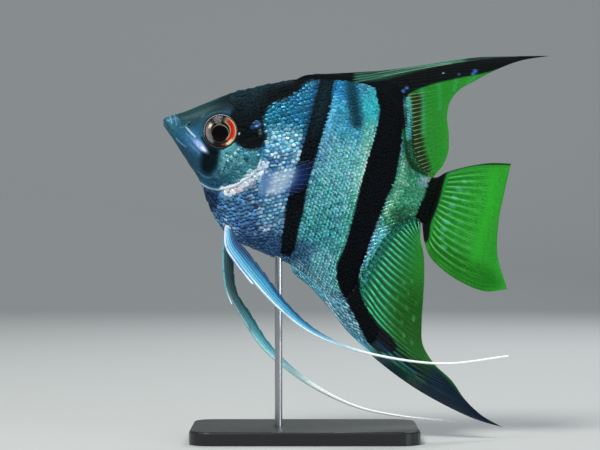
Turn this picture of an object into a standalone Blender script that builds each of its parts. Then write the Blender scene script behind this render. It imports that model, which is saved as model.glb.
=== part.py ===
"""Freshwater angelfish, a still life-size model on a plain display stand.

Units are metres, +Z is up.  The fish swims toward -X, its left flank faces -Y, and the
origin lies under the middle of the model, at the level the stand rests on.

The fish is drawn in its own frame, in millimetres: "along" runs from the lips to the tail,
"up" is square to it, and Y is across.  An empty carries that frame, pitched nose up, and
every piece of the fish is its child.
"""

import math

import bmesh
import bpy
import numpy as np
from mathutils import Matrix, Vector

MM = 0.001

# ---------------------------------------------------------------- driving dimensions (mm)
STANDARD_LENGTH = 80.0          # lips to the root of the tail fin
PITCH = math.radians(16.5)      # nose up
SNOUT = (-56.4, 0.0, 92.9)      # the lips above the middle of the stand's underside
GAP = 0.3                       # left between pieces that meet

# Along, back, belly, half width, and how blunt the section is (1 = ellipse, 2 = lens).
BODY_STATIONS = (
    (0.0, 0.8, -0.7, 1.3, 1.0),
    (1.5, 2.1, -1.9, 2.1, 1.0),
    (5.2, 4.4, -5.1, 3.2, 1.0),
    (10.0, 8.3, -9.3, 4.3, 1.05),
    (15.2, 12.4, -13.8, 5.2, 1.1),
    (18.2, 14.4, -17.6, 5.7, 1.15),
    (21.5, 16.2, -21.6, 6.1, 1.15),
    (26.9, 19.3, -26.3, 6.8, 1.2),
    (35.2, 23.1, -28.3, 7.2, 1.25),
    (42.5, 25.3, -29.1, 7.1, 1.35),
    (48.6, 26.7, -29.9, 6.7, 1.5),
    (54.5, 27.4, -32.4, 6.0, 1.7),
    (60.0, 26.6, -35.6, 5.1, 1.9),
    (63.5, 24.6, -37.0, 4.4, 2.0),
    (66.2, 21.5, -34.6, 3.8, 2.0),
    (68.4, 16.0, -27.4, 3.3, 1.8),
    (70.6, 10.8, -18.4, 2.9, 1.5),
    (73.0, 7.9, -11.6, 2.5, 1.2),
    (76.0, 6.7, -8.0, 2.2, 1.1),
    (STANDARD_LENGTH, 6.4, -6.5, 1.8, 1.1),
    (STANDARD_LENGTH + 2.5, 7.2, -7.6, 1.1, 1.1),
)
BODY_RINGS = 33
RING_CROWDING = 0.15            # share by which the rings crowd toward the lips
BODY_SIDES = 24                 # a multiple of four, so that left and right match
EDGE_HALF = 0.5                 # half thickness of the back's and belly's edges

EYE_CENTRE = (16.9, 3.6, 1.9)
EYE_RADIUS = 5.1                # seen from the side
EYE_DEPTH = 2.7                 # half of the eyeball's thickness across the fish
EYE_SEGMENTS = 22
EYE_RINGS = 12

# The rear edge of the head, from above the nape round the gill cover to the throat.
HEAD_EDGE = ((19.0, 24.0), (20.5, 17.0), (24.3, 9.5), (28.6, 4.0), (30.9, -1.0), (30.8, -5.4),
             (28.8, -9.7), (25.2, -13.0), (20.4, -14.9), (16.0, -14.6), (11.0, -15.4))
GILL_COVER_OUTLINE = ((20.6, -4.0), (23.6, -1.6), (24.4, 2.2), (27.6, 3.4), (30.1, -0.9),
                      (30.0, -5.2), (28.1, -9.2), (24.8, -12.2), (20.4, -13.8), (16.6, -12.6),
                      (18.4, -10.6), (20.4, -8.0))
GILL_COVER_THICKNESS = 0.9
COVER_INNER = 1.2               # a cover comes no nearer to the mid-plane than this
JAW_OUTLINE = ((-1.5, -0.35), (2.2, -1.5), (4.6, -3.3), (7.4, -6.6), (9.6, -9.6), (8.0, -14.0),
               (-1.5, -7.0))
HEAD_FRONT = [(-8.0, -18.0), (-8.0, 30.0)]     # closes the head's outline past the lips
STALK_START = 76.5              # where the trunk ends and the tail stalk begins
STALK_OUTLINE = ((STALK_START, 0.0), (STALK_START, 40.0), (95.0, 40.0), (95.0, -40.0),
                 (STALK_START, -40.0))
CUTTER_HALF = 20.0              # cutters reach this far to each side
TAIL_ROOT = 81.2                # where the stalk ends and the tail fin begins

FIN_ROOT_HALF = 0.5             # half thickness of a fin at its root
FIN_RIM_HALF = 0.28             # and at its margin
FIN_SUNK = 0.7                  # how far a fin is drawn into the body before it is trimmed

DORSAL_START = 33.0
DORSAL_LEAD = ((33.0, 21.6), (35.4, 24.1), (41.6, 26.5), (50.2, 29.6), (59.0, 33.0), (68.4, 37.3),
               (76.0, 40.9), (83.4, 44.1), (91.0, 46.6), (102.9, 50.3))
DORSAL_MARGIN = ((102.9, 50.3), (95.0, 46.4), (88.5, 41.4), (84.0, 37.0), (80.3, 33.0),
                 (78.8, 28.7), (79.2, 25.0), (81.2, 20.0), (82.5, 14.5), (82.0, 10.4),
                 (80.6, 7.4))
ANAL_START = 47.4
ANAL_LEAD = ((47.4, -29.1), (48.6, -31.2), (54.5, -34.0), (62.3, -38.8), (70.1, -44.3), (80.7, -49.6),
             (91.7, -53.6), (103.1, -56.3), (112.4, -57.6), (120.6, -57.6))
ANAL_MARGIN = ((120.6, -57.6), (113.8, -56.0), (107.5, -52.8), (102.5, -48.8), (96.0, -45.4),
               (91.3, -41.0), (89.2, -35.0), (87.6, -28.0), (86.0, -21.5), (84.0, -15.6),
               (82.0, -12.0))
TAIL_LEAD = ((TAIL_ROOT, 6.4), (83.3, 9.4), (87.6, 12.7), (91.0, 14.6), (101.6, 17.4))
TAIL_MARGIN = ((101.6, 17.4), (101.5, 9.0), (102.4, -0.6), (104.8, -9.6), (110.4, -18.6))
TAIL_TRAIL = ((TAIL_ROOT, -6.6), (82.6, -10.9), (85.9, -15.7), (91.3, -18.7), (98.0, -20.6),
              (104.2, -21.0), (110.4, -18.6))

PECTORAL_ROOT = ((32.3, -6.4), (33.6, -12.6))
PECTORAL_MARGIN = ((42.4, 0.2), (46.4, 1.3), (47.4, -2.4), (46.2, -6.8), (42.8, -10.4),
                   (38.2, -13.2))
PECTORAL_SPLAY = math.radians(14)   # how far the fin stands off the flank
PECTORAL_HALF = 0.28

# Along, up, out from the middle, half the blade's width.
PELVIC_LEFT = ((27.0, -23.8, 3.6, 1.2), (28.2, -26.6, 3.7, 1.7), (29.9, -29.0, 4.3, 2.2),
               (32.6, -31.0, 5.2, 2.5), (39.7, -35.9, 7.2, 2.6), (47.9, -41.2, 8.2, 1.9),
               (58.6, -45.9, 8.6, 1.1), (66.0, -47.3, 8.4, 0.6), (84.6, -46.9, 7.6, 0.36),
               (98.0, -44.4, 7.0, 0.32), (115.5, -37.0, 6.4, 0.28))
PELVIC_RIGHT = ((27.0, -23.8, 3.6, 1.2), (27.9, -27.2, 3.8, 1.5), (28.8, -30.6, 4.5, 1.6),
                (30.2, -35.4, 5.6, 1.7), (33.6, -42.8, 7.0, 1.6), (39.6, -48.6, 7.8, 1.9),
                (46.8, -54.6, 8.2, 1.6), (56.6, -59.6, 8.2, 1.0), (68.0, -63.1, 7.8, 0.6),
                (79.0, -64.5, 7.2, 0.38), (91.0, -63.5, 6.6, 0.32), (107.4, -60.2, 6.0, 0.28))
PELVIC_HALF = 0.3               # half thickness of the blade

BASE_SIZE = (66.0, 40.0, 4.0)
BASE_CENTRE = -15.0             # along X
BASE_CORNER = 6.0
BASE_BEVEL = 0.6
ROD_RADIUS = 1.1
ROD_X = -22.6
ROD_SOCKET = 2.6                # how deep the rod stands in the base
ROD_INTO_BELLY = 4.0


# ------------------------------------------------------------------------ curves and maths
def through(points, count):
    """Spread count points evenly over a smooth curve through the given ones."""
    knots = np.array(points, dtype=float)
    chord = np.linalg.norm(np.diff(knots, axis=0), axis=1)
    stops = np.concatenate(([0.0], np.cumsum(chord)))
    slopes = np.gradient(knots, stops, axis=0)
    places = np.linspace(0.0, stops[-1], count)
    return [hermite(stops, knots, slopes, place) for place in places]


def hermite(stops, knots, slopes, place):
    """Read a smooth curve, given its knots and slopes, at one place along it."""
    i = int(np.clip(np.searchsorted(stops, place) - 1, 0, len(stops) - 2))
    span = stops[i + 1] - stops[i]
    t = (place - stops[i]) / span
    start = (1 + 2 * t) * (1 - t) ** 2 * knots[i] + t * (1 - t) ** 2 * span * slopes[i]
    end = t * t * (3 - 2 * t) * knots[i + 1] + t * t * (t - 1) * span * slopes[i + 1]
    return start + end


STATIONS = np.array(BODY_STATIONS)
STATION_SLOPES = np.gradient(STATIONS[:, 1:], STATIONS[:, 0], axis=0)


def body_at(along):
    """Back, belly, half width and bluntness of the body at one place along it."""
    return hermite(STATIONS[:, 0], STATIONS[:, 1:], STATION_SLOPES, along)


def section_half_width(width, bluntness, height):
    """Half width of a body section at a height from -1, the belly, to 1, the back."""
    fullness = max(0.0, 1.0 - height * height) ** (0.5 * bluntness)
    return EDGE_HALF + (width - EDGE_HALF) * fullness


def flank(along, up):
    """Distance from the mid-plane to the flank at a point seen from the side."""
    back, belly, width, bluntness = body_at(along)
    height = (2 * up - back - belly) / (back - belly)
    return section_half_width(width, bluntness, min(1.0, max(-1.0, height)))


def body_ring(along, inset):
    """One closed section of the body, drawn inset millimetres under its surface."""
    back, belly, width, bluntness = body_at(along)
    back -= inset
    belly += inset
    angles = (np.arange(BODY_SIDES) + 0.5) * 2 * math.pi / BODY_SIDES
    top = math.sin(angles[BODY_SIDES // 4 - 1])
    ring = []
    for angle in angles:
        height = math.sin(angle) / top
        reach = section_half_width(width, bluntness, height)
        reach = max(0.4 * EDGE_HALF, reach - inset)
        side = math.copysign(reach, math.cos(angle))
        ring.append((along, side, 0.5 * (back + belly) + 0.5 * height * (back - belly)))
    return ring


# ---------------------------------------------------------------------------- mesh helpers
def finish_mesh(name, bm, smooth_angle=40.0):
    """Turn a bmesh drawn in millimetres into a mesh in metres, faces out."""
    bmesh.ops.recalc_face_normals(bm, faces=bm.faces)
    bmesh.ops.scale(bm, vec=(MM, MM, MM), verts=bm.verts)
    mesh = bpy.data.meshes.new(name)
    bm.to_mesh(mesh)
    bm.free()
    mesh.shade_smooth()
    mesh.set_sharp_from_angle(angle=math.radians(smooth_angle))
    return mesh


def loft(name, rings):
    """Skin a row of closed sections that all have the same number of points."""
    bm = bmesh.new()
    rows = [[bm.verts.new(point) for point in ring] for ring in rings]
    for near, far in zip(rows, rows[1:]):
        for i in range(len(near)):
            j = (i + 1) % len(near)
            bm.faces.new((near[i], near[j], far[j], far[i]))
    bm.faces.new(rows[0])
    bm.faces.new(rows[-1])
    return finish_mesh(name, bm)


def plate(name, outline, low, high):
    """A flat outline, seen from the side, carried across the fish from low to high."""
    bm = bmesh.new()
    face = bm.faces.new([bm.verts.new((x, low, z)) for x, z in outline])
    grown = bmesh.ops.extrude_face_region(bm, geom=[face])["geom"]
    moved = [item for item in grown if isinstance(item, bmesh.types.BMVert)]
    bmesh.ops.translate(bm, vec=(0.0, high - low, 0.0), verts=moved)
    return finish_mesh(name, bm)


def grown_outline(points, distance):
    """Move each point of a closed outline outward by a distance."""
    corners = np.array(points, dtype=float)
    ahead = np.roll(corners, -1, axis=0) - np.roll(corners, 1, axis=0)
    turning = np.cross(corners, np.roll(corners, -1, axis=0)).sum()
    normals = np.column_stack((ahead[:, 1], -ahead[:, 0])) * np.sign(turning)
    normals /= np.linalg.norm(normals, axis=1)[:, None]
    return corners + normals * distance


# ------------------------------------------------------------------- objects and materials
def collection(name):
    """Make a collection in the scene."""
    made = bpy.data.collections.new(name)
    bpy.context.scene.collection.children.link(made)
    return made


def material(name, colour, roughness, metallic=0.0):
    """A Principled material of one colour."""
    made = bpy.data.materials.new(name)
    made.use_nodes = True
    shader = made.node_tree.nodes["Principled BSDF"]
    shader.inputs["Base Color"].default_value = (*colour, 1.0)
    shader.inputs["Roughness"].default_value = roughness
    shader.inputs["Metallic"].default_value = metallic
    return made


def place(name, mesh, group, carrier=None, finish=None, origin=(0.0, 0.0, 0.0)):
    """Make an object of a mesh, with its origin at a point given in millimetres."""
    made = bpy.data.objects.new(name, mesh)
    shift = Vector(origin) * MM
    mesh.transform(Matrix.Translation(-shift))
    made.location = shift
    made.parent = carrier
    group.objects.link(made)
    if finish is not None:
        mesh.materials.append(finish)
    return made


def cutter(name, mesh, group, carrier=None):
    """An object that only cuts others."""
    made = place(name, mesh, group, carrier)
    made.display_type = "WIRE"
    made.hide_render = True
    return made


def boolean(target, other, operation):
    """Cut or keep the part of target that another object covers."""
    step = target.modifiers.new(operation.title() + " " + other.name, "BOOLEAN")
    step.operation = operation
    step.object = other
    step.solver = "EXACT"


# ---------------------------------------------------------------------------- the fish
class Fish:
    """The fish's pieces, in its own frame."""

    def __init__(self, pieces, cutters):
        self.pieces = pieces
        self.cutters = cutters
        self.frame = bpy.data.objects.new("swimming_pose", None)
        self.frame.location = Vector(SNOUT) * MM
        self.frame.rotation_euler = (0.0, PITCH, 0.0)
        pieces.objects.link(self.frame)
        self.skin = material("blue_silver_skin", (0.10, 0.26, 0.36), 0.35, 0.2)
        self.ray = material("clear_fin_membrane", (0.16, 0.42, 0.36), 0.4)
        self.streamer = material("pale_blue_fin", (0.35, 0.60, 0.80), 0.4)
        self.eye = material("eye", (0.03, 0.03, 0.04), 0.1)

    def add(self, name, mesh, finish, origin=(0.0, 0.0, 0.0)):
        """Put a piece of the fish in its frame."""
        return place(name, mesh, self.pieces, self.frame, finish, origin)

    def cut(self, name, mesh):
        """Put a cutter in the fish's frame."""
        return cutter(name, mesh, self.cutters, self.frame)

    def flesh(self, name, inset=0.0):
        """The whole body from lips to tail root, without fins or eyes."""
        spacing = np.linspace(0.0, 1.0, BODY_RINGS)
        crowded = (1.0 - RING_CROWDING) * spacing + RING_CROWDING * spacing ** 2
        places = crowded * (TAIL_ROOT - GAP)
        return loft(name, [body_ring(along, inset) for along in places])

    def seam(self, name, outline):
        """Two cutters right through the fish: an outline, and the same one a gap larger."""
        room = plate(name + "_room", outline, -CUTTER_HALF, CUTTER_HALF)
        larger = plate(name + "_cut", grown_outline(outline, GAP), -CUTTER_HALF, CUTTER_HALF)
        return self.cut(name + "_room", room), self.cut(name + "_cut", larger)

    def build_body(self):
        """Part the body into head, lower jaw, gill covers, trunk and tail stalk."""
        edge = [tuple(point) for point in through(HEAD_EDGE, 26)]
        head_room, head_cut = self.seam("head", edge + HEAD_FRONT)
        jaw_room, jaw_cut = self.seam("jaw", JAW_OUTLINE)
        stalk_room, stalk_cut = self.seam("stalk", STALK_OUTLINE)
        head = self.add("head", self.flesh("head"), self.skin)
        boolean(head, head_room, "INTERSECT")
        boolean(head, jaw_cut, "DIFFERENCE")
        jaw = self.add("lower_jaw", self.flesh("lower_jaw"), self.skin)
        boolean(jaw, jaw_room, "INTERSECT")
        trunk = self.add("trunk", self.flesh("trunk"), self.skin)
        boolean(trunk, head_cut, "DIFFERENCE")
        boolean(trunk, stalk_cut, "DIFFERENCE")
        stalk = self.add("tail_stalk", self.flesh("tail_stalk"), self.skin)
        boolean(stalk, stalk_room, "INTERSECT")
        self.build_gill_covers(head)
        self.build_eyes(head)
        return trunk

    def build_gill_covers(self, head):
        """A thin plate on each side of the head, and the shallow bed it lies in."""
        outline = [tuple(point) for point in through(
            GILL_COVER_OUTLINE + GILL_COVER_OUTLINE[:1], 31)][:-1]
        bed_outline = grown_outline(outline, GAP)
        core = self.cut("cover_core", self.flesh("cover_core", GILL_COVER_THICKNESS))
        bed_core = self.cut("bed_core", self.flesh("bed_core", GILL_COVER_THICKNESS + GAP))
        for side, name in ((-1, "left"), (1, "right")):
            low, high = sorted((side * COVER_INNER, side * CUTTER_HALF))
            room = self.cut("cover_room_" + name, plate("cover_room", outline, low, high))
            bed = self.cut("cover_bed_" + name, plate("cover_bed", bed_outline, low, high))
            boolean(bed, bed_core, "DIFFERENCE")
            cover_name = "gill_cover_" + name
            cover = self.add(cover_name, self.flesh(cover_name), self.skin)
            boolean(cover, room, "INTERSECT")
            boolean(cover, core, "DIFFERENCE")
            boolean(head, bed, "DIFFERENCE")

    def build_eyes(self, head):
        """A flattened ball on each side, in a socket of its own."""
        x, y, z = EYE_CENTRE
        for side, name in ((-1, "left"), (1, "right")):
            centre = (x, side * y, z)
            socket = self.cut("socket_" + name, eyeball("socket", centre, GAP))
            boolean(head, socket, "DIFFERENCE")
            self.add("eye_" + name, eyeball("eye_" + name, centre, 0.0), self.eye, centre)

    def build_median_fins(self):
        """Dorsal, anal and tail fins, which lie in the mid-plane."""
        body = self.cut("fin_seat", self.flesh("fin_seat", -GAP))
        rear = TAIL_ROOT - 1.0
        back = [(x, body_at(x)[0] - FIN_SUNK) for x in np.linspace(DORSAL_START, rear, 30)]
        dorsal = loft("dorsal_fin", fin_rings(back, DORSAL_LEAD, DORSAL_MARGIN, 24, 7))
        fin = self.add("dorsal_fin", dorsal, self.ray, (DORSAL_START, 0.0, 20.0))
        boolean(fin, body, "DIFFERENCE")
        belly = [(x, body_at(x)[1] + FIN_SUNK) for x in np.linspace(ANAL_START, rear, 30)]
        anal = loft("anal_fin", fin_rings(belly, ANAL_LEAD, ANAL_MARGIN, 24, 7))
        fin = self.add("anal_fin", anal, self.ray, (ANAL_START, 0.0, -30.0))
        boolean(fin, body, "DIFFERENCE")
        top, bottom = body_at(TAIL_ROOT)[:2]
        root = ((TAIL_ROOT, top), (TAIL_ROOT, 0.5 * (top + bottom)), (TAIL_ROOT, bottom))
        tail = fin_rings(root, TAIL_LEAD, TAIL_MARGIN, 16, 7, TAIL_TRAIL)
        self.add("tail_fin", loft("tail_fin", tail), self.ray, (TAIL_ROOT, 0.0, 0.0))

    def build_pectoral_fins(self):
        """A clear paddle behind each gill cover, standing a little off the flank."""
        root = through(PECTORAL_ROOT, 9)
        margin = through(PECTORAL_MARGIN, 9)
        for side, name in ((-1, "left"), (1, "right")):
            rings = []
            for start, end in zip(root, margin):
                outer = []
                inner = []
                for step in np.linspace(0.0, 1.0, 6):
                    x, z = start + (end - start) * step
                    run = x - start[0]
                    out = flank(*start) + GAP + 2 * PECTORAL_HALF + run * math.tan(PECTORAL_SPLAY)
                    outer.append((x, side * (out + PECTORAL_HALF), z))
                    inner.append((x, side * (out - PECTORAL_HALF), z))
                rings.append(outer + inner[::-1])
            full_name = "pectoral_fin_" + name
            origin = (PECTORAL_ROOT[0][0], side * flank(*PECTORAL_ROOT[0]), PECTORAL_ROOT[0][1])
            self.add(full_name, loft(full_name, rings), self.ray, origin)

    def build_pelvic_fins(self):
        """The two long ventral fins, blades that run out into streamers."""
        for side, name, path in ((-1, "left", PELVIC_LEFT), (1, "right", PELVIC_RIGHT)):
            stops = through(path, 34)
            rings = []
            for i, (x, z, out, half) in enumerate(stops):
                before = stops[max(0, i - 1)]
                after = stops[min(len(stops) - 1, i + 1)]
                run = Vector((after[0] - before[0], after[1] - before[1])).normalized()
                across = Vector((-run.y, run.x))
                rings.append(blade_ring((x, side * out, z), across, half))
            full_name = "pelvic_fin_" + name
            root = (path[0][0], side * path[0][2], path[0][1])
            self.add(full_name, loft(full_name, rings), self.streamer, root)


def eyeball(name, centre, grow):
    """A ball flattened across the fish, its poles to the sides."""
    bm = bmesh.new()
    bmesh.ops.create_uvsphere(bm, u_segments=EYE_SEGMENTS, v_segments=EYE_RINGS, radius=1.0)
    bmesh.ops.rotate(bm, matrix=Matrix.Rotation(math.pi / 2, 3, "X"), verts=bm.verts)
    size = (EYE_RADIUS + grow, EYE_DEPTH + grow, EYE_RADIUS + grow)
    bmesh.ops.scale(bm, vec=size, verts=bm.verts)
    bmesh.ops.translate(bm, vec=centre, verts=bm.verts)
    return finish_mesh(name, bm)


def fin_rings(root, lead, margin, rays, steps, last=None):
    """Sections of a fin in the mid-plane, one along each ray.

    The first ray follows the lead curve and the last one follows last; the rays between
    run from the root to the margin and lose that bend little by little.
    """
    roots = through(root, rays)
    rims = through(margin, rays)
    first_bend = bend(lead, roots[0], rims[0], steps)
    last_bend = bend(last, roots[-1], rims[-1], steps) if last else first_bend * 0.0
    rings = []
    for i, (start, end) in enumerate(zip(roots, rims)):
        share = i / (rays - 1)
        near = []
        for step in range(steps):
            t = step / (steps - 1)
            point = start + (end - start) * t
            point = point + first_bend[step] * (1 - share) ** 2 + last_bend[step] * share ** 2
            half = FIN_ROOT_HALF + (FIN_RIM_HALF - FIN_ROOT_HALF) * math.sqrt(t)
            near.append((point[0], half, point[1]))
        rings.append(near + [(x, -half, z) for x, half, z in reversed(near)])
    return rings


def bend(curve, start, end, steps):
    """How far a curve strays from the straight line between two points."""
    path = np.array(through(curve, steps))
    straight = np.array([start + (end - start) * t for t in np.linspace(0.0, 1.0, steps)])
    stray = path - straight
    stray[0] = 0.0
    stray[-1] = 0.0
    return stray


def blade_ring(centre, across, half):
    """An eight-sided section of a ventral fin, flat across the fish."""
    ring = []
    for angle in np.arange(8) * math.pi / 4:
        reach = half * math.cos(angle)
        x = centre[0] + across.x * reach
        z = centre[2] + across.y * reach
        ring.append((x, centre[1] + PELVIC_HALF * math.sin(angle), z))
    return ring


# ---------------------------------------------------------------------------- the stand
def build_stand(pieces, cutters, trunk):
    """A flat base with one rod up to the belly, seated in both."""
    black = material("painted_base", (0.02, 0.02, 0.022), 0.5)
    steel = material("brushed_steel", (0.6, 0.6, 0.62), 0.3, 1.0)
    length, width, height = BASE_SIZE
    bm = bmesh.new()
    bmesh.ops.create_cube(bm, size=1.0)
    bmesh.ops.scale(bm, vec=BASE_SIZE, verts=bm.verts)
    bmesh.ops.translate(bm, vec=(BASE_CENTRE, 0.0, height / 2), verts=bm.verts)
    upright = [edge for edge in bm.edges
               if abs(edge.verts[0].co.z - edge.verts[1].co.z) > height / 2]
    bmesh.ops.bevel(bm, geom=upright, offset=BASE_CORNER, segments=6, affect="EDGES",
                    profile=0.5, material=-1)
    rim = [edge for edge in bm.edges
           if min(vert.co.z for vert in edge.verts) > height - 0.01]
    bmesh.ops.bevel(bm, geom=rim, offset=BASE_BEVEL, segments=2, affect="EDGES",
                    profile=0.5, material=-1)
    base = place("stand_base", finish_mesh("stand_base", bm), pieces, None, black)

    belly = rod_top()
    bottom = height - ROD_SOCKET
    rod = rod_mesh("stand_rod", ROD_RADIUS, bottom, belly + ROD_INTO_BELLY)
    place("stand_rod", rod, pieces, None, steel, (ROD_X, 0.0, bottom))
    hole = cutter("rod_hole", rod_mesh("rod_hole", ROD_RADIUS + GAP, bottom - GAP,
                                       belly + ROD_INTO_BELLY + GAP), cutters)
    boolean(base, hole, "DIFFERENCE")
    boolean(trunk, hole, "DIFFERENCE")


def rod_top():
    """Height of the belly above the floor where the rod meets it."""
    heights = []
    for along in np.linspace(30.0, 60.0, 61):
        belly = body_at(along)[1]
        x = SNOUT[0] + along * math.cos(PITCH) + belly * math.sin(PITCH)
        z = SNOUT[2] - along * math.sin(PITCH) + belly * math.cos(PITCH)
        heights.append((abs(x - ROD_X), z))
    return min(heights)[1]


def rod_mesh(name, radius, low, high):
    """An upright round rod."""
    bm = bmesh.new()
    bmesh.ops.create_cone(bm, cap_ends=True, segments=20, radius1=radius, radius2=radius,
                          depth=high - low)
    bmesh.ops.translate(bm, vec=(ROD_X, 0.0, 0.5 * (low + high)), verts=bm.verts)
    return finish_mesh(name, bm)


def main():
    """Clear the scene and build the model."""
    for item in list(bpy.data.objects):
        bpy.data.objects.remove(item, do_unlink=True)
    pieces = collection("freshwater_angelfish")
    cutters = collection("cutters")
    fish = Fish(pieces, cutters)
    trunk = fish.build_body()
    fish.build_median_fins()
    fish.build_pectoral_fins()
    fish.build_pelvic_fins()
    build_stand(pieces, cutters, trunk)


main()
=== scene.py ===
"""Freshwater angelfish: the finish of a still, life-size museum model on its stand.

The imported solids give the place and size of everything.  Shapes are drawn in the fish's own
frame in millimetres: "along" runs from the lips to the tail, "up" is square to it and
"across" is the world's Y.  One skin covers the flesh, thousands of small plates lie over it
as scales, and each fin is a thin membrane stretched between bony rays.
"""

from __future__ import annotations

import logging
import math
from dataclasses import dataclass, field
from enum import Enum
from typing import Callable, Sequence

import bmesh
import bpy
import numpy as np
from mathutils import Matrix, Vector


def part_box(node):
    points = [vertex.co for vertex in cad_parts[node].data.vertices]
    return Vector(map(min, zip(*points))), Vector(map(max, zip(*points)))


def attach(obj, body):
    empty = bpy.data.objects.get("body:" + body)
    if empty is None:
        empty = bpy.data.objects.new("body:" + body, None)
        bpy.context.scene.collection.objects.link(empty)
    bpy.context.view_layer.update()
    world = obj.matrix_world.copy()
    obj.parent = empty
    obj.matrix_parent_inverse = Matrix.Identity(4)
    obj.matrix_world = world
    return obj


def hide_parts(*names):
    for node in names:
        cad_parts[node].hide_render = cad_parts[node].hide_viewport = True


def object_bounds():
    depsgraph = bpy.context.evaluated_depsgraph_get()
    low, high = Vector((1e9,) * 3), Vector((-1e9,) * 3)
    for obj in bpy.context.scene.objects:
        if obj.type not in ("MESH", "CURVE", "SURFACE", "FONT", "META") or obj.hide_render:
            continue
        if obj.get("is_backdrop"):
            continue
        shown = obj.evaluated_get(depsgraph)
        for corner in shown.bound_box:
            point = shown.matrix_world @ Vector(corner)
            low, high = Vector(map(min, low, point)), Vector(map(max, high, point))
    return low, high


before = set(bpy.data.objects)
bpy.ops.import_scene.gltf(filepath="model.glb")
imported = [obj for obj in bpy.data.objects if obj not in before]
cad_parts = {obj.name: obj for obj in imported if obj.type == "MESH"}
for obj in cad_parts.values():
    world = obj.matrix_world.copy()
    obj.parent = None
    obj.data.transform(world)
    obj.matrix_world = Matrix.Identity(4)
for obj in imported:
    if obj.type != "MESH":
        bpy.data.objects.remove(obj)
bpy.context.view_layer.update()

Array = np.ndarray
Points = Sequence[Sequence[float]]
log = logging.getLogger("angelfish")

MM = 0.001
WELD = 0.0002 * MM
SEED = 41
ROOT = "root"

# ---- driving sizes (mm, degrees)
PITCH = math.radians(16.5)
EYE_CENTRE = (16.9, 3.6, 1.9)  # along, across, up
EYE_SEEN = (17.3, 1.7)  # along, up, of the dressed eye
STANDARD_LENGTH = 80.0
TAIL_ROOT = 81.2
EDGE_HALF = 0.5
FIN_SUNK = 0.7
DORSAL_START = 33.0
ANAL_START = 47.4

# Along, back, belly, half width, and how blunt the section is (1 = ellipse, 2 = lens).
BODY_STATIONS = (
    (0, 0.8, -0.7, 1.3, 1), (1.5, 2.1, -1.9, 2.1, 1), (5.2, 4.4, -5.1, 3.2, 1),
    (10, 8.3, -9.3, 4.3, 1.05), (15.2, 12.4, -13.8, 5.2, 1.1), (18.2, 14.4, -17.6, 5.7, 1.15),
    (21.5, 16.2, -21.6, 6.1, 1.15), (26.9, 19.3, -26.3, 6.8, 1.2), (35.2, 23.1, -28.3, 7.2, 1.25),
    (42.5, 25.3, -29.1, 7.1, 1.35), (48.6, 26.7, -29.9, 6.7, 1.5), (54.5, 27.4, -32.4, 6, 1.7),
    (60, 26.6, -35.6, 5.1, 1.9), (63.5, 24.6, -37, 4.4, 2), (66.2, 21.5, -34.6, 3.8, 2),
    (68.4, 16, -27.4, 3.3, 1.8), (70.6, 10.8, -18.4, 2.9, 1.5), (73, 7.9, -11.6, 2.5, 1.2),
    (76, 6.7, -8, 2.2, 1.1), (STANDARD_LENGTH, 6.4, -6.5, 1.8, 1.1),
    (STANDARD_LENGTH + 2.5, 7.2, -7.6, 1.1, 1.1),
)
DORSAL_LEAD = (
    (33, 21.6), (35.4, 24.1), (41.6, 26.5), (50.2, 29.6), (59, 33), (68.4, 37.3), (76, 40.9),
    (83.4, 44.1), (91, 46.6), (102.9, 50.3),
)
DORSAL_MARGIN = (
    (102.9, 50.3), (95, 46.4), (88.5, 41.4), (84, 37), (80.3, 33), (78.8, 28.7), (79.2, 25), (81.2, 20),
    (82.5, 14.5), (82, 10.4), (80.6, 7.4),
)
ANAL_LEAD = (
    (47.4, -29.1), (48.6, -31.2), (54.5, -34), (62.3, -38.8), (70.1, -44.3), (80.7, -49.6),
    (91.7, -53.6), (103.1, -56.3), (112.4, -57.6), (120.6, -57.6),
)
ANAL_MARGIN = (
    (120.6, -57.6), (113.8, -56), (107.5, -52.8), (102.5, -48.8), (96, -45.4), (91.3, -41), (89.2, -35),
    (87.6, -28), (86, -21.5), (84, -15.6), (82, -12),
)
TAIL_LEAD = ((81.2, 6.4), (83.4, 8.9), (86.5, 11), (91, 13.5), (95.6, 15.5), (101, 16.9))
TAIL_MARGIN = ((101, 16.9), (101.5, 9), (102.4, -0.6), (104.8, -9.6), (110.4, -18.6))
TAIL_TRAIL = (
    (81.2, -6.6), (82.6, -10.9), (85.9, -15.7), (91.3, -18.7), (98, -20.6), (104.2, -21),
    (110.4, -18.6),
)
PECTORAL_ROOT = ((32.3, -7), (33.4, -12.2))
PECTORAL_MARGIN = ((42.4, 0.2), (46.4, 1.3), (47.4, -2.4), (46.2, -6.8), (42.8, -10.4), (38.2, -13.2))
PECTORAL_SPLAY = math.radians(14.0)
# Along, up, distance from the mid-plane, half width of the blade.
PELVIC_LEFT = (
    (27, -23.4, 1.6, 0.7), (28, -25.9, 3.5, 1.4), (29.9, -29, 4.3, 2.2), (32.6, -31, 5.2, 2.5),
    (39.7, -35.9, 7.2, 2.6), (47.9, -41.2, 8.2, 1.9), (58.6, -45.9, 8.6, 1.1), (66, -47.3, 8.4, 0.6),
    (84.6, -46.9, 7.6, 0.36), (98, -44.4, 7, 0.32), (115.5, -37, 6.4, 0.28),
)
PELVIC_RIGHT = (
    (27, -23.4, 1.6, 0.7), (27.7, -26.4, 3.6, 1.3), (28.8, -30.6, 4.5, 1.6), (30.2, -35.4, 5.6, 1.7),
    (33.6, -42.8, 7, 1.6), (39.6, -48.6, 7.8, 1.9), (46.8, -54.6, 8.2, 1.6), (56.6, -59.6, 8.2, 1),
    (68, -63.1, 7.8, 0.6), (79, -64.5, 7.2, 0.38), (91, -63.5, 6.6, 0.32), (107.4, -60.2, 6, 0.28),
)
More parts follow.
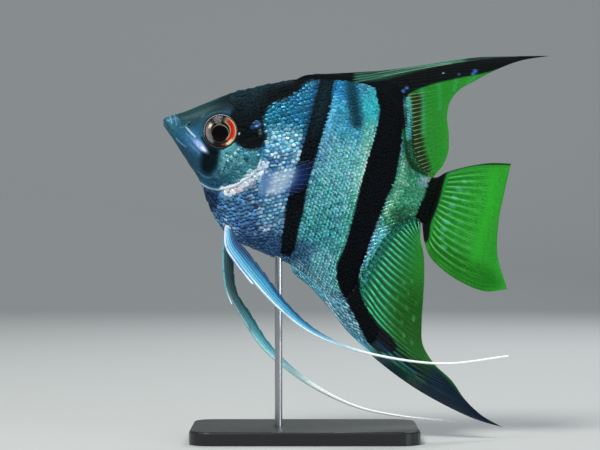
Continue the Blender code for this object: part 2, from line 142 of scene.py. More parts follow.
GILL_RIM = (
    (15.6, -14.4), (18.3, -15.2), (21, -15.1), (23.9, -13.8), (26.3, -12), (28.1, -9.9), (29.9, -7.9),
    (30.9, -5.4), (31.2, -2.4), (30.4, 0.4), (28.6, 2.6), (26, 3.8),
)


class Side(Enum):
    """The fish's two sides, as the sign of Y."""

    LEFT = -1
    RIGHT = 1

    @property
    def word(self) -> str:
        """The side's name as the nodes spell it."""
        return self.name.lower()


# ---- curves and colours
def hermite(stops: Array, knots: Array, slopes: Array, places: Array) -> Array:
    """Read a smooth curve at several places.

    Args:
        stops: Where the knots lie along the curve.
        knots: The points that the curve runs through.
        slopes: The curve's slope at each knot.
        places: Where to read it.

    Returns:
        One point for each place.
    """
    i = np.clip(np.searchsorted(stops, places) - 1, 0, len(stops) - 2)
    span = (stops[i + 1] - stops[i])[..., None]
    t = (places - stops[i])[..., None] / span
    start = (1 + 2 * t) * (1 - t) ** 2 * knots[i] + t * (1 - t) ** 2 * span * slopes[i]
    end = t * t * (3 - 2 * t) * knots[i + 1] + t * t * (t - 1) * span * slopes[i + 1]
    return start + end


def through(points: Points, count: int) -> Array:
    """Spread count points evenly over a smooth curve through the given ones."""
    knots = np.array(points, dtype=float)
    stops = arc_length(knots)
    slopes = np.gradient(knots, stops, axis=0)
    return hermite(stops, knots, slopes, np.linspace(0.0, stops[-1], count))


def read(rows: Array, share: Array) -> Array:
    """Read evenly spaced rows at shares from 0 to 1, straight between neighbours."""
    place = np.clip(share, 0.0, 1.0) * (len(rows) - 1)
    i = np.minimum(place.astype(int), len(rows) - 2)
    part = (place - i)[..., None]
    return rows[i] * (1 - part) + rows[i + 1] * part


def unit(vectors: Array) -> Array:
    """The same directions at length 1."""
    return vectors / (np.linalg.norm(vectors, axis=-1, keepdims=True) + 1e-12)


def arc_length(points: Array) -> Array:
    """Length along a row of points, from its start."""
    steps = np.linalg.norm(np.diff(points, axis=0), axis=1)
    return np.concatenate(([0.0], np.cumsum(steps)))


def smooth(low: float, high: float, value: Array) -> Array:
    """Rise from 0 at low to 1 at high with soft ends."""
    t = np.clip((value - low) / (high - low), 0.0, 1.0)
    return t * t * (3 - 2 * t)


def fade(distance: Array, edge: float, soft: float) -> Array:
    """1 within an edge, 0 beyond it, and soft across it."""
    return 1.0 - smooth(edge - soft, edge + soft, distance)


def bell(value: Array, middle: float, width: float) -> Array:
    """1 at the middle, falling away to both sides over a width."""
    return np.exp(-((value - middle) / width) ** 2)


def srgb(hex_colour: str) -> Array:
    """Read a hex colour as sRGB numbers from 0 to 1."""
    return np.array([int(hex_colour[i:i + 2], 16) for i in (1, 3, 5)]) / 255.0


def to_linear(colour: Array) -> Array:
    """Turn sRGB numbers into the linear ones that Blender keeps."""
    colour = np.clip(colour, 0.0, 1.0)
    return np.where(colour <= 0.04045, colour / 12.92, ((colour + 0.055) / 1.055) ** 2.4)


def mix(low: Array, high: Array, share: Array | float) -> Array:
    """Blend rows of colours or points; share holds one number for each row."""
    return low + (high - low) * np.asarray(share, dtype=float)[..., None]


def path_distance(spots: Array, path: Array) -> Array:
    """Distance from each spot to a row of straight stretches."""
    nearest = np.full(len(spots), np.inf)
    for start, end in zip(path, path[1:]):
        run = end - start
        share = np.clip(((spots - start) @ run) / max(float(run @ run), 1e-9), 0.0, 1.0)
        gap = spots - start - share[:, None] * run
        nearest = np.minimum(nearest, np.hypot(gap[:, 0], gap[:, 1]))
    return nearest


# ---- soft 2-D shapes
@dataclass(frozen=True)
class Stroke:
    """A line with soft edges, seen from the side."""

    points: Points
    half: float = 0.3
    soft: float = 0.2

    def weight(self, spots: Array) -> Array:
        """Cover at each (along, up) spot, from 0 to 1."""
        path = through(self.points, 6 * len(self.points))
        return fade(path_distance(spots, path), self.half, self.soft)


@dataclass(frozen=True)
class Blot:
    """A soft ellipse; turn is in degrees, nose-down positive."""

    centre: Sequence[float]
    radii: Sequence[float]
    turn: float = 0.0
    soft: float = 0.5

    def weight(self, spots: Array) -> Array:
        """Cover at each (along, up) spot, from 0 to 1."""
        angle = math.radians(self.turn)
        gap = spots - np.array(self.centre)
        run = gap[:, 0] * math.cos(angle) - gap[:, 1] * math.sin(angle)
        rise = gap[:, 0] * math.sin(angle) + gap[:, 1] * math.cos(angle)
        return fade(np.hypot(run / self.radii[0], rise / self.radii[1]), 1.0, self.soft)


@dataclass(frozen=True)
class Patch:
    """A closed outline with a soft edge."""

    outline: Points
    soft: float = 0.5
    curved: bool = True

    def loop(self) -> Array:
        """The outline as a closed row of points."""
        closed = tuple(self.outline) + tuple(self.outline[:1])
        return through(closed, 4 * len(closed)) if self.curved else np.array(closed, dtype=float)

    def depth(self, spots: Array) -> Array:
        """Distance to the outline, positive inside."""
        loop = self.loop()
        inside = np.zeros(len(spots), dtype=bool)
        for start, end in zip(loop, loop[1:]):
            crosses = (start[1] > spots[:, 1]) != (end[1] > spots[:, 1])
            rise = end[1] - start[1] if end[1] != start[1] else 1e-9
            reach = start[0] + (spots[:, 1] - start[1]) / rise * (end[0] - start[0])
            inside ^= crosses & (spots[:, 0] < reach)
        distance = path_distance(spots, loop)
        return np.where(inside, distance, -distance)

    def weight(self, spots: Array) -> Array:
        """Cover at each (along, up) spot, from 0 to 1."""
        return fade(-self.depth(spots), 0.0, self.soft)


@dataclass(frozen=True)
class Bar:
    """An upright stripe, given by its front and rear edge at several heights."""

    stops: Points
    soft: float = 0.16

    def weight(self, spots: Array) -> Array:
        """Cover at each (along, up) spot, from 0 to 1."""
        rows = np.array(sorted(self.stops), dtype=float)
        front = np.interp(spots[:, 1], rows[:, 0], rows[:, 1])
        rear = np.interp(spots[:, 1], rows[:, 0], rows[:, 2])
        off = np.abs(spots[:, 0] - 0.5 * (front + rear)) - 0.5 * (rear - front)
        past = np.maximum(rows[0, 0] - spots[:, 1], spots[:, 1] - rows[-1, 0])
        return fade(off, 0.0, self.soft) * fade(past, 0.0, 2 * self.soft)


Shape = Stroke | Blot | Patch | Bar


# ---- the frame
@dataclass(frozen=True)
class FishFrame:
    """The fish's own frame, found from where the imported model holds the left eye."""

    snout_x: float
    snout_z: float

    @classmethod
    def from_eye(cls) -> FishFrame:
        """Work out where the lips are from the middle of the left eye's box."""
        low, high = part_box("eye_left")
        middle = (low + high) / (2 * MM)
        along, _, up = EYE_CENTRE
        x = middle.x - along * math.cos(PITCH) - up * math.sin(PITCH)
        z = middle.z + along * math.sin(PITCH) - up * math.cos(PITCH)
        return cls(x, z)

    def world(self, points: Array) -> Array:
        """Turn (along, across, up) in millimetres into world metres."""
        along, across, up = points[..., 0], points[..., 1], points[..., 2]
        x = self.snout_x + along * math.cos(PITCH) + up * math.sin(PITCH)
        z = self.snout_z - along * math.sin(PITCH) + up * math.cos(PITCH)
        return np.stack((x, across, z), axis=-1) * MM

    def own(self, points: Array) -> Array:
        """Turn world metres into (along, across, up) in millimetres."""
        x = points[..., 0] / MM - self.snout_x
        z = points[..., 2] / MM - self.snout_z
        along = x * math.cos(PITCH) - z * math.sin(PITCH)
        up = x * math.sin(PITCH) + z * math.cos(PITCH)
        return np.stack((along, points[..., 1] / MM, up), axis=-1)


@dataclass(frozen=True)
class BodyForm:
    """The body's surface: the same sections as the solids, with finely rounded edges."""

    inset: float = 0.12  # the coat's depth
    tip_round: float = 0.9  # how far back the lips' rounding runs
    rear_end: float = 82.3
    rear_round: float = 0.8

    def section(self, along: Array) -> tuple[Array, Array, Array, Array]:
        """Back, belly, half width and bluntness at each place along the body."""
        table = np.array(BODY_STATIONS)
        slopes = np.gradient(table[:, 1:], table[:, 0], axis=0)
        found = hermite(table[:, 0], table[:, 1:], slopes, np.asarray(along, dtype=float))
        return found[..., 0], found[..., 1], found[..., 2], found[..., 3]

    def point(self, along: Array, turn: Array, side: Array, lift: float = 0.0) -> Array:
        """A point of the surface.

        Args:
            along: Place along the body.
            turn: Angle from the belly's edge, -90 degrees, to the back's, 90, in radians.
            side: The sign of Y.
            lift: Height above the skin.

        Returns:
            (along, across, up) for each place.
        """
        back, belly, width, bluntness = self.section(along)
        shrink = self.inset - lift
        nose = np.sqrt(np.clip(1 - (1 - np.clip(along / self.tip_round, 0, 1)) ** 2, 0, 1))
        start = self.rear_end - self.rear_round
        stern = np.clip((along - start) / self.rear_round, 0, 1)
        stern = np.sqrt(np.clip(1 - stern ** 2, 0, 1))
        cosine = np.clip(np.cos(turn), 0.0, 1.0)
        edge = EDGE_HALF * np.sqrt(cosine)
        half = edge + (width - EDGE_HALF) * cosine ** bluntness
        half = np.maximum(half - shrink * np.sqrt(cosine), 0.0) * nose * stern
        middle = 0.5 * (back + belly)
        reach = (0.5 * (back - belly) - shrink) * (0.25 + 0.75 * nose) * (nose > 0)
        return np.stack((along, side * half, middle + reach * np.sin(turn)), axis=-1)

    def turn_at(self, along: Array, up: Array) -> Array:
        """The section angle at a height seen from the side."""
        back, belly, _, _ = self.section(along)
        height = (2 * up - back - belly) / (back - belly)
        return np.arcsin(np.clip(height, -1.0, 1.0))

    def out_at(self, along: Array, up: Array) -> Array:
        """Distance from the mid-plane to the skin at a spot seen from the side."""
        along = np.asarray(along, dtype=float)
        return self.point(along, self.turn_at(along, np.asarray(up, dtype=float)), 1.0)[..., 1]

    def axes_at(self, along: Array, turn: Array, side: float) -> tuple[Array, Array, Array]:
        """Unit vectors at surface points: rearward, upward and outward."""
        step = 0.05
        here = self.point(along, turn, side)
        rearward = unit(self.point(along + step, turn, side) - here)
        upward = self.point(along, turn + 0.004, side) - here
        outward = unit(np.cross(upward, rearward) * side)
        upward = np.cross(rearward, outward) * side
        return rearward, upward, outward


# ---- the markings
@dataclass(frozen=True)
class Zone:
    """A soft area of colour: lit on its scales' middles, darker and partly painted shade between them.
    """

    shape: Shape
    bright: str
    deep: str
    strength: float = 1.0


def line(colour: str, points: Points, half: float, soft: float = 0.2, strength: float = 1.0) -> Zone:
    """A painted line of one colour."""
    return Zone(Stroke(points, half, soft), colour, colour, strength)


def spot(colour: str, centre: Sequence[float], radius: float, soft: float = 0.5,
         strength: float = 1.0) -> Zone:
    """A painted dot of one colour."""
    return Zone(Blot(centre, (radius, radius), 0.0, soft), colour, colour, strength)


FLANK_ZONES = (
    Zone(Blot((33, -20), (17, 11), 0, 0.4), "#5a90c2", "#163a60"),
    Zone(Blot((39, -24.5), (9, 4.5), 8), "#4a74a2", "#18365e"),
    Zone(Blot((34.5, 12), (9, 7.5)), "#2882a6", "#08425c"),
    Zone(Blot((37.5, 1), (7.2, 7)), "#d6ffff", "#4aa8d6"),
    Zone(Blot((36.5, -5.5), (6.5, 5.5)), "#b6e0ff", "#1c629c"),
    Zone(Blot((39, -11.5), (5, 9)), "#ccf6ff", "#2a7eb4"),
    Zone(Blot((38.5, 18.5), (5, 6), 0, 0.6), "#2f7ea6", "#124a6a"),
    Zone(Blot((48.5, 20.5), (6, 8)), "#3fa4dc", "#166a9c"),
    Zone(Blot((50.5, 11), (8, 8.5)), "#68cde8", "#2584ac"),
    Zone(Blot((49, 1), (5.5, 9)), "#86c8e6", "#1f6484"),
    Zone(Blot((54.5, 0.5), (5.5, 9.5)), "#a0ecf2", "#3698a8"),
    Zone(Blot((52, -10.5), (7.5, 8.5)), "#88e6ea", "#186c7a"),
    Zone(Blot((53.5, -19.5), (7.5, 7.5)), "#68d0d4", "#145c6a"),
    Zone(Blot((50.5, -26), (4.5, 4.5), 20), "#43759a", "#173c5a"),
    Zone(Blot((58.5, -28), (6.5, 4.5), 40), "#9eeef6", "#267a8e"),
    # A painted highlight: a white spot by the root of the pelvic fins.
    Zone(Blot((28.2, -24.8), (2.2, 1), 20), "#eef4ff", "#7fa4d0"),
    Zone(Blot((57.5, 21), (3.6, 6), 0, 0.6), "#52e0e4", "#26a0b4"),
    Zone(Stroke(((46.4, 21), (46.9, 16), (47.2, 10)), 0.6, 1), "#96e4ff", "#44acd8", 0.85),
    Zone(Stroke(((58.8, 15), (59.5, 8), (59.8, 0), (60.3, -8)), 2, 2), "#9ceecf", "#35a092", 0.85),
    Zone(Stroke(((59.4, 9.5), (59.9, 4.5), (60, -1.5)), 0.8, 1), "#dcfff0", "#74c8b4", 0.8),
    Zone(Stroke(((60.2, -8), (60.7, -17), (61, -24), (64, -31.5)), 1.5, 1.6), "#74e2c0", "#22807c",
        0.85),
    Zone(Blot((76, 0), (8, 18), 0, 0.3), "#58b48e", "#1c6448"),
    Zone(Stroke(((71.2, 8.5), (71.6, 0.5), (70.4, -8)), 0.8, 0.8), "#b9e8d0", "#4a9478", 0.8),
    Zone(Blot((79.3, 4.6), (2.6, 1.6), 0, 0.6), "#b4c2dc", "#6d8fa0", 0.8),
    Zone(Stroke(((71.2, -13), (70.4, -20), (70, -29)), 1.5, 1), "#90f0f2", "#34a4b4"),
    Zone(Blot((75.4, -7.4), (3.4, 2.6), 0, 0.6), "#2f6e4e", "#123e2a", 0.9),
    Zone(Stroke(((31.8, -4.6), (30.2, -8.4), (27.4, -11.8), (24.4, -14)), 1.7, 0.7), "#ffffff",
        "#b9cbe2"),
    Zone(Stroke(((50, -30.5), (58, -34.5), (66, -40.5), (74, -45.5)), 2.2, 1.6), "#a4d3e0", "#356e8a"),
)
BAR_FOOT = Patch(((61.1, -21), (61.05, -27.4), (63.2, -31.9), (67, -35.9), (71.4, -40.6), (75.1, -44.4),
    (78.7, -46.4), (82.5, -46.4), (84.5, -44.2), (82.3, -41.9), (77.3, -39.2), (73, -35.9),
    (70.5, -33.2), (68.6, -29.1), (67.6, -25.1), (67.9, -20)), 0.22)
SHEATH_FRONT = Patch(((46.5, -27.5), (54.5, -30), (60.5, -25.5), (61.6, -29), (64.5, -33.2), (69, -38),
    (73.6, -42.8), (77.5, -46.6), (77.5, -49.5), (70.1, -45.4), (62.3, -39.8), (54.5, -35),
    (47, -31.5)))

HEAD_ZONES = (
    Zone(Blot((9, -3), (15, 13), 0, 0.3), "#2b6280", "#164660"),
    Zone(Patch(((2.5, 3.2), (8, 7.2), (13, 11.2), (19, 15), (18, 10), (12, 4.6), (6.5, 1)), 1.2),
        "#1f4a4a", "#122e34"),
    Zone(Blot((9.5, 3.2), (4, 2.2), -35, 0.6), "#234852", "#142d36", 0.8),
    Zone(Blot((19, 13.6), (7.5, 4.6), -30, 0.7), "#0d2329", "#081519"),
    Zone(Blot((2.4, -0.6), (3.2, 2.6), 40, 0.6), "#3f7488", "#235468"),
    # A painted highlight along the forehead's top edge.
    Zone(Stroke(((1.2, 1.6), (5, 4.5), (10, 8.3), (14, 11.2)), 0.2, 0.5), "#47707a", "#33585f", 0.6),
    Zone(Stroke(((1, -1.6), (5, -5), (10, -9.4), (15, -13.6)), 0.3, 0.6), "#16405a", "#0e2c40", 0.8),
    Zone(Blot((10.5, -7.5), (4.2, 2.6), 40, 0.6), "#2c546e", "#193a50", 0.9),
    Zone(Blot((11.5, -3.4), (4.6, 2.4), 22, 0.6), "#4d86b0", "#265c82"),
    Zone(Patch(((18.6, -3.4), (22, -1.2), (24.8, -1), (29.2, -0.6), (31.2, -2.2), (30.6, -6),
        (28.4, -9.2), (25.2, -12.2), (20.5, -13.7), (18.8, -11), (20, -8.6), (18.6, -6))), "#64abb8",
        "#1f6272"),
    Zone(Blot((21.4, -12.2), (5, 2.2), -12, 0.6), "#2c6280", "#163f58"),
    Zone(Blot((25, -8.6), (2.4, 2.8), 30, 0.6), "#3f7f8e", "#1d5566", 0.8),
    Zone(Blot((20.8, -7.6), (0.9, 3.2), 12, 0.6), "#25566a", "#143b4c", 0.7),
    Zone(Blot((21.6, -5.6), (2.2, 3.2), 10, 0.6), "#92d2de", "#3c8496", 0.75),
    Zone(Blot((27.4, -4.6), (1.8, 2.4), 30, 0.6), "#5aa0ae", "#296c7a", 0.7),
    Zone(Stroke(((18.2, -3.2), (20.4, -2.2), (22.2, -0.8)), 0.5, 0.5), "#66b0ae", "#2e7680"),
    Zone(Patch(((14.2, -3.6), (18.2, -3.2), (19, -5.5), (19, -9), (17.6, -11.4), (15.2, -10.9),
        (14.1, -8.3)), 1.15), "#04161c", "#020c10"),
    line("#08161d", ((12.6, -1.6), (14.2, -3), (16.9, -3.6), (19.4, -2.9)), 0.35, 0.35, 0.95),
    line("#7aa3b6", ((14.2, -11.3), (16.2, -12.1), (18.8, -11.7), (20, -10.4)), 0.12, 0.2, 0.8),
    line("#0b2c3e", ((14, -12), (16.2, -12.9), (18.8, -12.4), (20.6, -11.2)), 0.2, 0.3, 0.7),
    line("#c2ecea", ((24, -1.2), (22.9, -3.4), (21.4, -5.8)), 0.24),
    line("#8ac4ca", ((21.6, -5.6), (20.9, -8.6), (21.2, -11.2)), 0.15, 0.25, 0.6),
    line("#1d5364", ((22.5, -6.2), (21.9, -8.8), (22.2, -11)), 0.22, 0.3, 0.7),
    line("#20586a", ((24.9, -1.6), (23.8, -3.8), (22.8, -5.6)), 0.22, 0.3, 0.7),
    spot("#84bcc0", (25, -4.8), 1.35, 0.25, 0.6),
    spot("#3a7f88", (25, -4.8), 0.8, 0.3, 0.8),
    spot("#17454e", (26.9, -4), 0.8, 0.5, 0.9),
    spot("#1c4f5c", (19.9, -5), 0.45, 0.5, 0.8),
    spot("#1c4f5c", (20.9, -4.2), 0.3, 0.5, 0.7),
    spot("#1c4f5c", (20.5, -6.2), 0.35, 0.5, 0.7),
    line("#0d3648", ((16.9, -13.5), (19.6, -13.9), (22.2, -13.5), (24.6, -12.3), (26.8, -10.4),
        (28.2, -8.6)), 0.16, 0.2, 0.85),
    line("#cfe4f0", ((15.6, -14.3), (18.3, -15), (21, -14.9), (23.9, -13.7)), 0.3),
    line("#e9f5fc", ((22.6, -14), (26, -12), (28, -9.7), (29.6, -7.5)), 0.75, 0.5),
    line("#cde8f2", ((29.4, -8), (30.7, -5.6), (31, -3.2)), 0.4, 0.4, 0.9),
    line("#dcecfb", ((7.3, 0), (8.8, -0.9), (10.6, -1.9)), 0.2, 0.2, 0.85),
    line("#86b6d2", ((5.4, -3.9), (7, -4.8), (8.8, -5.4)), 0.16, 0.25, 0.75),
    line("#6d9cc2", ((7.9, -1.7), (9.4, -2.5), (11, -3.4)), 0.16, 0.25, 0.7),
    Zone(Blot((13, -4), (2.6, 0.85), 28), "#b5c6f6", "#93a8e0"),
    Zone(Blot((13.9, -4.5), (1.1, 0.4), 30, 0.6), "#eef1ff", "#dfe4ff"),
    line("#6e8fc8", ((10, -4.3), (11.6, -5.3), (13, -6)), 0.2, 0.3, 0.7),
    line("#5d9aa0", ((5.6, -0.6), (6.8, 0.2), (7.6, 1.4)), 0.14, 0.2, 0.6),
    # Painted highlights beside the grooves above the mouth (the two pale lines), and two dark lines
    # between them.
    line("#86b4d2", ((1.5, 2.2), (2.3, 1.1), (2.9, 0)), 0.12, 0.16, 0.75),
    line("#7caccc", ((2.7, 2.7), (3.6, 1.4), (4.3, 0)), 0.12, 0.16, 0.7),
    line("#1b4258", ((2.1, 2.6), (3, 1.3), (3.7, 0)), 0.08, 0.16, 0.7),
    line("#1b4258", ((3.3, 3), (4.4, 1.6), (5.2, 0)), 0.08, 0.16, 0.6),
)
INK_ZONES = (
    Zone(Patch(((19.6, 10.6), (20.4, 16.8), (24.9, 19.5), (29.4, 22.6), (34.7, 25.7), (40, 28.5),
        (47.5, 31.5), (49, 28.5), (43.6, 25.6), (38, 23.4), (35.3, 18.9), (33, 16), (29.2, 13.4),
        (28.3, 9), (28.9, 6.4), (30.4, 4.4), (30.5, 1.9), (29.3, -0.2), (27.2, -1.1), (24.7, -1),
        (22.4, -0.2), (20.4, 0.5), (20.6, 4.6), (18.6, 6.8)), 0.6), "#081218", "#04080c"),
    Zone(Patch(((19.6, 8.6), (15.4, 11.2), (18.6, 15.6), (26, 18.8), (25, 10)), 3), "#0c2630",
        "#07171d", 0.9),
    Zone(Stroke(((18, 13.2), (25, 17.6), (32, 21.8)), 1.4, 1.2), "#0e3440", "#08222a", 0.75),
    # A painted sheen along the top of the nape.
    Zone(Stroke(((14.5, 11.9), (19, 14.9), (25, 18.7), (32, 23)), 0.35, 0.6), "#2a4250", "#1a2c38",
        0.7),
    Zone(Stroke(((46, 28), (52, 29.2), (58, 29.6)), 1.3, 0.9), "#0e1d22", "#070f12", 0.9),
    Zone(Blot((27, 6.6), (1.1, 0.8)), "#3f78ae", "#2c5d92", 0.9),
    Zone(Blot((26.2, 5.4), (0.7, 0.9), 30), "#2a5488", "#1e4170", 0.7),
    line("#5f8f80", ((28.2, 5.2), (28.8, 4.3), (29.1, 3.4)), 0.2, 0.25, 0.7),
    spot("#c9dce0", (22.7, 2.5), 0.28, 0.4, 0.9),
    Zone(Stroke(((40.4, 25), (40.6, 18), (41, 10), (41.2, 4)), 0.7, 0.9), "#14527c", "#0a3252", 0.8),
    Zone(Bar(((-27.5, 44.4, 47), (-25, 43.4, 47.6), (-16, 42, 46.9), (-8, 41.3, 46.2), (0, 41.3, 45.7),
        (8, 41.3, 45.8), (16, 41, 45.9), (24, 40.9, 45), (30, 40.9, 45.5)), 0.22), "#0a151d",
        "#04080c"),
    Zone(Blot((43.3, 18), (1.7, 9), 0, 0.7), "#0f2f38", "#0a1e26", 0.8),
    Zone(Stroke(((45.5, 24), (45.9, 17), (45.8, 9)), 0.2, 0.4), "#1f5c98", "#0f3c64", 0.6),
    Zone(Bar(((32, 55.5, 65), (26, 57.2, 65.4), (21, 59.9, 67.2), (17, 60.3, 68), (12, 60.7, 69.2),
        (2, 60.7, 69.7), (-9, 61.1, 68.5), (-18, 61.2, 68.2), (-24, 61.1, 67.8))), "#070d13",
        "#030609"),
    Zone(BAR_FOOT, "#070d13", "#030609"),
    Zone(Stroke(((49.2, 28.5), (50.4, 24.5), (52.4, 20), (54.4, 15.4)), 1.7, 1.3), "#14495a", "#0a2a36",
        0.96),
    Zone(Patch(((81, 8.2), (79.6, 5), (79.3, -0.5), (78.7, -4.3), (79.9, -8.6), (82.6, -11.6),
        (84.6, -10.4), (84.8, -6.1), (84.8, -1.8), (84.8, 3.7), (84.4, 8)), 0.2), "#04100b", "#020604"),
    Zone(Patch(((16.6, -15.6), (22, -15.8), (22.6, -18), (21.4, -21.8), (17.5, -18.5)), 0.9), "#142a4c",
        "#0b1a33", 0.85),
)


def lay(zones: Sequence[Zone], spots: Array, bright: Array, deep: Array) -> tuple[Array, Array]:
    """Lay zones over a bright and a deep sRGB colour, the first zones lowest."""
    for zone in zones:
        cover = zone.shape.weight(spots) * zone.strength
        bright = mix(bright, srgb(zone.bright), cover)
        deep = mix(deep, srgb(zone.deep), cover)
    return bright, deep


HEAD = Patch(GILL_RIM + ((24, 6), (20, 12), (18, 20), (-5, 12), (-5, -12)), 0.35, False)


@dataclass(frozen=True)
class Markings:
    """The fish's bright and deep colours, read at any (along, up) spot."""

    flank: tuple[str, str] = ("#86c0d4", "#1c5474")
    head: tuple[str, str] = ("#3d7594", "#1f5470")

    def body(self, spots: Array) -> tuple[Array, Array]:
        """The colours of the body."""
        return lay(INK_ZONES, spots, *self.shine(spots))

    def shine(self, spots: Array) -> tuple[Array, Array]:
        """The colours of the body under its black ink."""
        flank = lay(FLANK_ZONES, spots, *map(srgb, self.flank))
        head = lay(HEAD_ZONES, spots, *map(srgb, self.head))
        share = self.head_share(spots)
        return mix(flank[0], head[0], share), mix(flank[1], head[1], share)

    def head_share(self, spots: Array) -> Array:
        """1 on the head, 0 behind the gill covers and the nape."""
        return HEAD.weight(spots)


# ---- master shapes and tiles
def values_of(rows: Sequence, key: str, width: int = 0, kind: type = float) -> Array:
    """One value of every vertex, corner or face; rows of them if a width is given."""
    found = np.empty(len(rows) * max(width, 1), dtype=kind)
    rows.foreach_get(key, found)
    return found.reshape(-1, width) if width else found


def grown(extruded: dict[str, list], kind: type) -> list:
    """The new vertices or faces of an extrusion."""
    return [item for item in extruded["geom"] if isinstance(item, kind)]


@dataclass(frozen=True)
class Master:
    """A small closed shape made with mesh operators, as arrays that can be repeated."""

    points: Array
    loops: Array
    starts: Array

    @classmethod
    def from_bmesh(cls, bm: bmesh.types.BMesh) -> Master:
        """Take the arrays of a bmesh and free it."""
        bmesh.ops.recalc_face_normals(bm, faces=bm.faces)
        mesh = bpy.data.meshes.new("master")
        bm.to_mesh(mesh)
        bm.free()
        made = cls(values_of(mesh.vertices, "co", 3),
                   values_of(mesh.loops, "vertex_index", kind=np.int32),
                   values_of(mesh.polygons, "loop_start", kind=np.int32))
        bpy.data.meshes.remove(mesh)
        return made

    @classmethod
    def grid(cls, columns: int, rows: int) -> Master:
        """An open sheet whose x and y run from 0 to 1."""
        bm = bmesh.new()
        bmesh.ops.create_grid(bm, x_segments=columns, y_segments=rows, size=0.5)
        bmesh.ops.translate(bm, vec=(0.5, 0.5, 0.0), verts=bm.verts)
        return cls.from_bmesh(bm)

    @classmethod
    def slab(cls, columns: int, rows: int) -> Master:
        """A closed thin slab: x and y run from 0 to 1, z is -1 or 1."""
        bm = bmesh.new()
        bmesh.ops.create_grid(bm, x_segments=columns, y_segments=rows, size=0.5)
        bmesh.ops.translate(bm, vec=(0.5, 0.5, -1.0), verts=bm.verts)
        upper = bmesh.ops.extrude_face_region(bm, geom=bm.faces[:])
        bmesh.ops.translate(bm, vec=(0.0, 0.0, 2.0), verts=grown(upper, bmesh.types.BMVert))
        return cls.from_bmesh(bm)

    @classmethod
    def rod(cls, steps: int, sides: int) -> Master:
        """A closed rod of radius 1 whose z runs from 0 to 1."""
        bm = bmesh.new()
        bmesh.ops.create_circle(bm, cap_ends=True, segments=sides, radius=1.0)
        last = bm.faces[:]
        for _ in range(steps):
            upper = bmesh.ops.extrude_face_region(bm, geom=last)
            last = grown(upper, bmesh.types.BMFace)
            moved = grown(upper, bmesh.types.BMVert)
            bmesh.ops.translate(bm, vec=(0.0, 0.0, 1.0 / steps), verts=moved)
        return cls.from_bmesh(bm)

    @classmethod
    def plate(cls, columns: int, rows: int) -> Master:
        """A closed round plate of radius 1: z is 1 on top, 0 at the rim, -1 at its foot."""
        bm = bmesh.new()
        bmesh.ops.create_grid(bm, x_segments=columns, y_segments=rows, size=1.0)
        rim = [edge for edge in bm.edges if edge.is_boundary]
        for vert in bm.verts:
            x, y = vert.co.x, vert.co.y
            vert.co.x = x * math.sqrt(1 - 0.5 * y * y)
            vert.co.y = y * math.sqrt(1 - 0.5 * x * x)
            vert.co.z = 1.0 - min(1.0, vert.co.x ** 2 + vert.co.y ** 2)
        foot = grown(bmesh.ops.extrude_edge_only(bm, edges=rim), bmesh.types.BMVert)
        bmesh.ops.pointmerge(bm, verts=foot, merge_co=(0.0, 0.0, -1.0))
        return cls.from_bmesh(bm)

    def repeat(self, name: str, places: Array) -> bpy.types.Mesh:
        """Join many copies into one smooth mesh.

        Args:
            name: The mesh's name.
            places: World points, one row of this shape's vertices for each copy.

        Returns:
            The mesh.
        """
        copies = len(places)
        count = len(self.points)
        shift = np.arange(copies, dtype=np.int32)[:, None]
        mesh = bpy.data.meshes.new(name)
        mesh.vertices.add(copies * count)
        mesh.loops.add(copies * len(self.loops))
        mesh.polygons.add(copies * len(self.starts))
        mesh.vertices.foreach_set("co", places.astype(np.float32).ravel())
        mesh.loops.foreach_set("vertex_index", (self.loops + shift * count).ravel())
        mesh.polygons.foreach_set("loop_start", (self.starts + shift * len(self.loops)).ravel())
        mesh.update(calc_edges=True)
        mesh.validate()
        mesh.shade_smooth()
        return mesh


def rods_along(master: Master, paths: Array, radii: Array) -> Array:
    """Bend copies of a rod along paths that run nearly square to the fish's width.

    Args:
        master: A rod from Master.rod.
        paths: (rod, stop, 3) points in the fish's frame.
        radii: (rod, stop) radii.

    Returns:
        (rod, vertex, 3) points in the fish's frame.
    """
    rows = np.concatenate((paths, np.gradient(paths, axis=1), radii[..., None]), axis=-1)
    x, y, z = master.points.T
    found = read(rows.swapaxes(0, 1).reshape(paths.shape[1], -1), z)
    found = found.reshape(len(z), len(paths), -1).swapaxes(0, 1)
    run, radius = unit(found[..., 3:6]), found[..., 6:]
    across = unit(np.cross(run, (0.0, 1.0, 0.0)))
    over = np.cross(across, run)
    return found[..., :3] + (across * x[:, None] + over * y[:, None]) * radius


def paint(mesh: bpy.types.Mesh, colour: Array, alpha: Array | float = 1.0) -> None:
    """Write sRGB colours on the mesh's vertices as the linear attribute "marking"."""
    values = np.empty((len(mesh.vertices), 4), dtype=np.float32)
    values[:, :3] = to_linear(colour)
    values[:, 3] = alpha
    layer = mesh.color_attributes.new("marking", "FLOAT_COLOR", "POINT")
    layer.data.foreach_set("color", values.ravel())


def mend(mesh: bpy.types.Mesh, weld: float = 0.0) -> None:
    """Turn the faces outward, with vertices closer than weld metres joined first."""
    bm = bmesh.new()
    bm.from_mesh(mesh)
    if weld:
        bmesh.ops.remove_doubles(bm, verts=bm.verts, dist=weld)
    bmesh.ops.recalc_face_normals(bm, faces=bm.faces)
    bm.to_mesh(mesh)
    bm.free()


def stand_up(name: str, data: bpy.types.ID) -> bpy.types.Object:
    """Put a mesh, a lamp or a camera in the scene as an object."""
    made = bpy.data.objects.new(name, data)
    bpy.context.scene.collection.objects.link(made)
    return made


def show(mesh: bpy.types.Mesh, finish: Finish, replaced: Sequence[str] = ()) -> None:
    """Put a finished piece of the fish in the scene, named as its mesh is.

    Args:
        mesh: The piece's mesh, in world metres.
        finish: What it is made of.
        replaced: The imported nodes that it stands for.
    """
    mesh.materials.append(finish.build())
    piece = stand_up(mesh.name, mesh)
    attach(piece, ROOT)
    if replaced:
        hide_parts(*replaced)
    log.info("%s: %d vertices, %d faces", mesh.name, len(mesh.vertices), len(mesh.polygons))


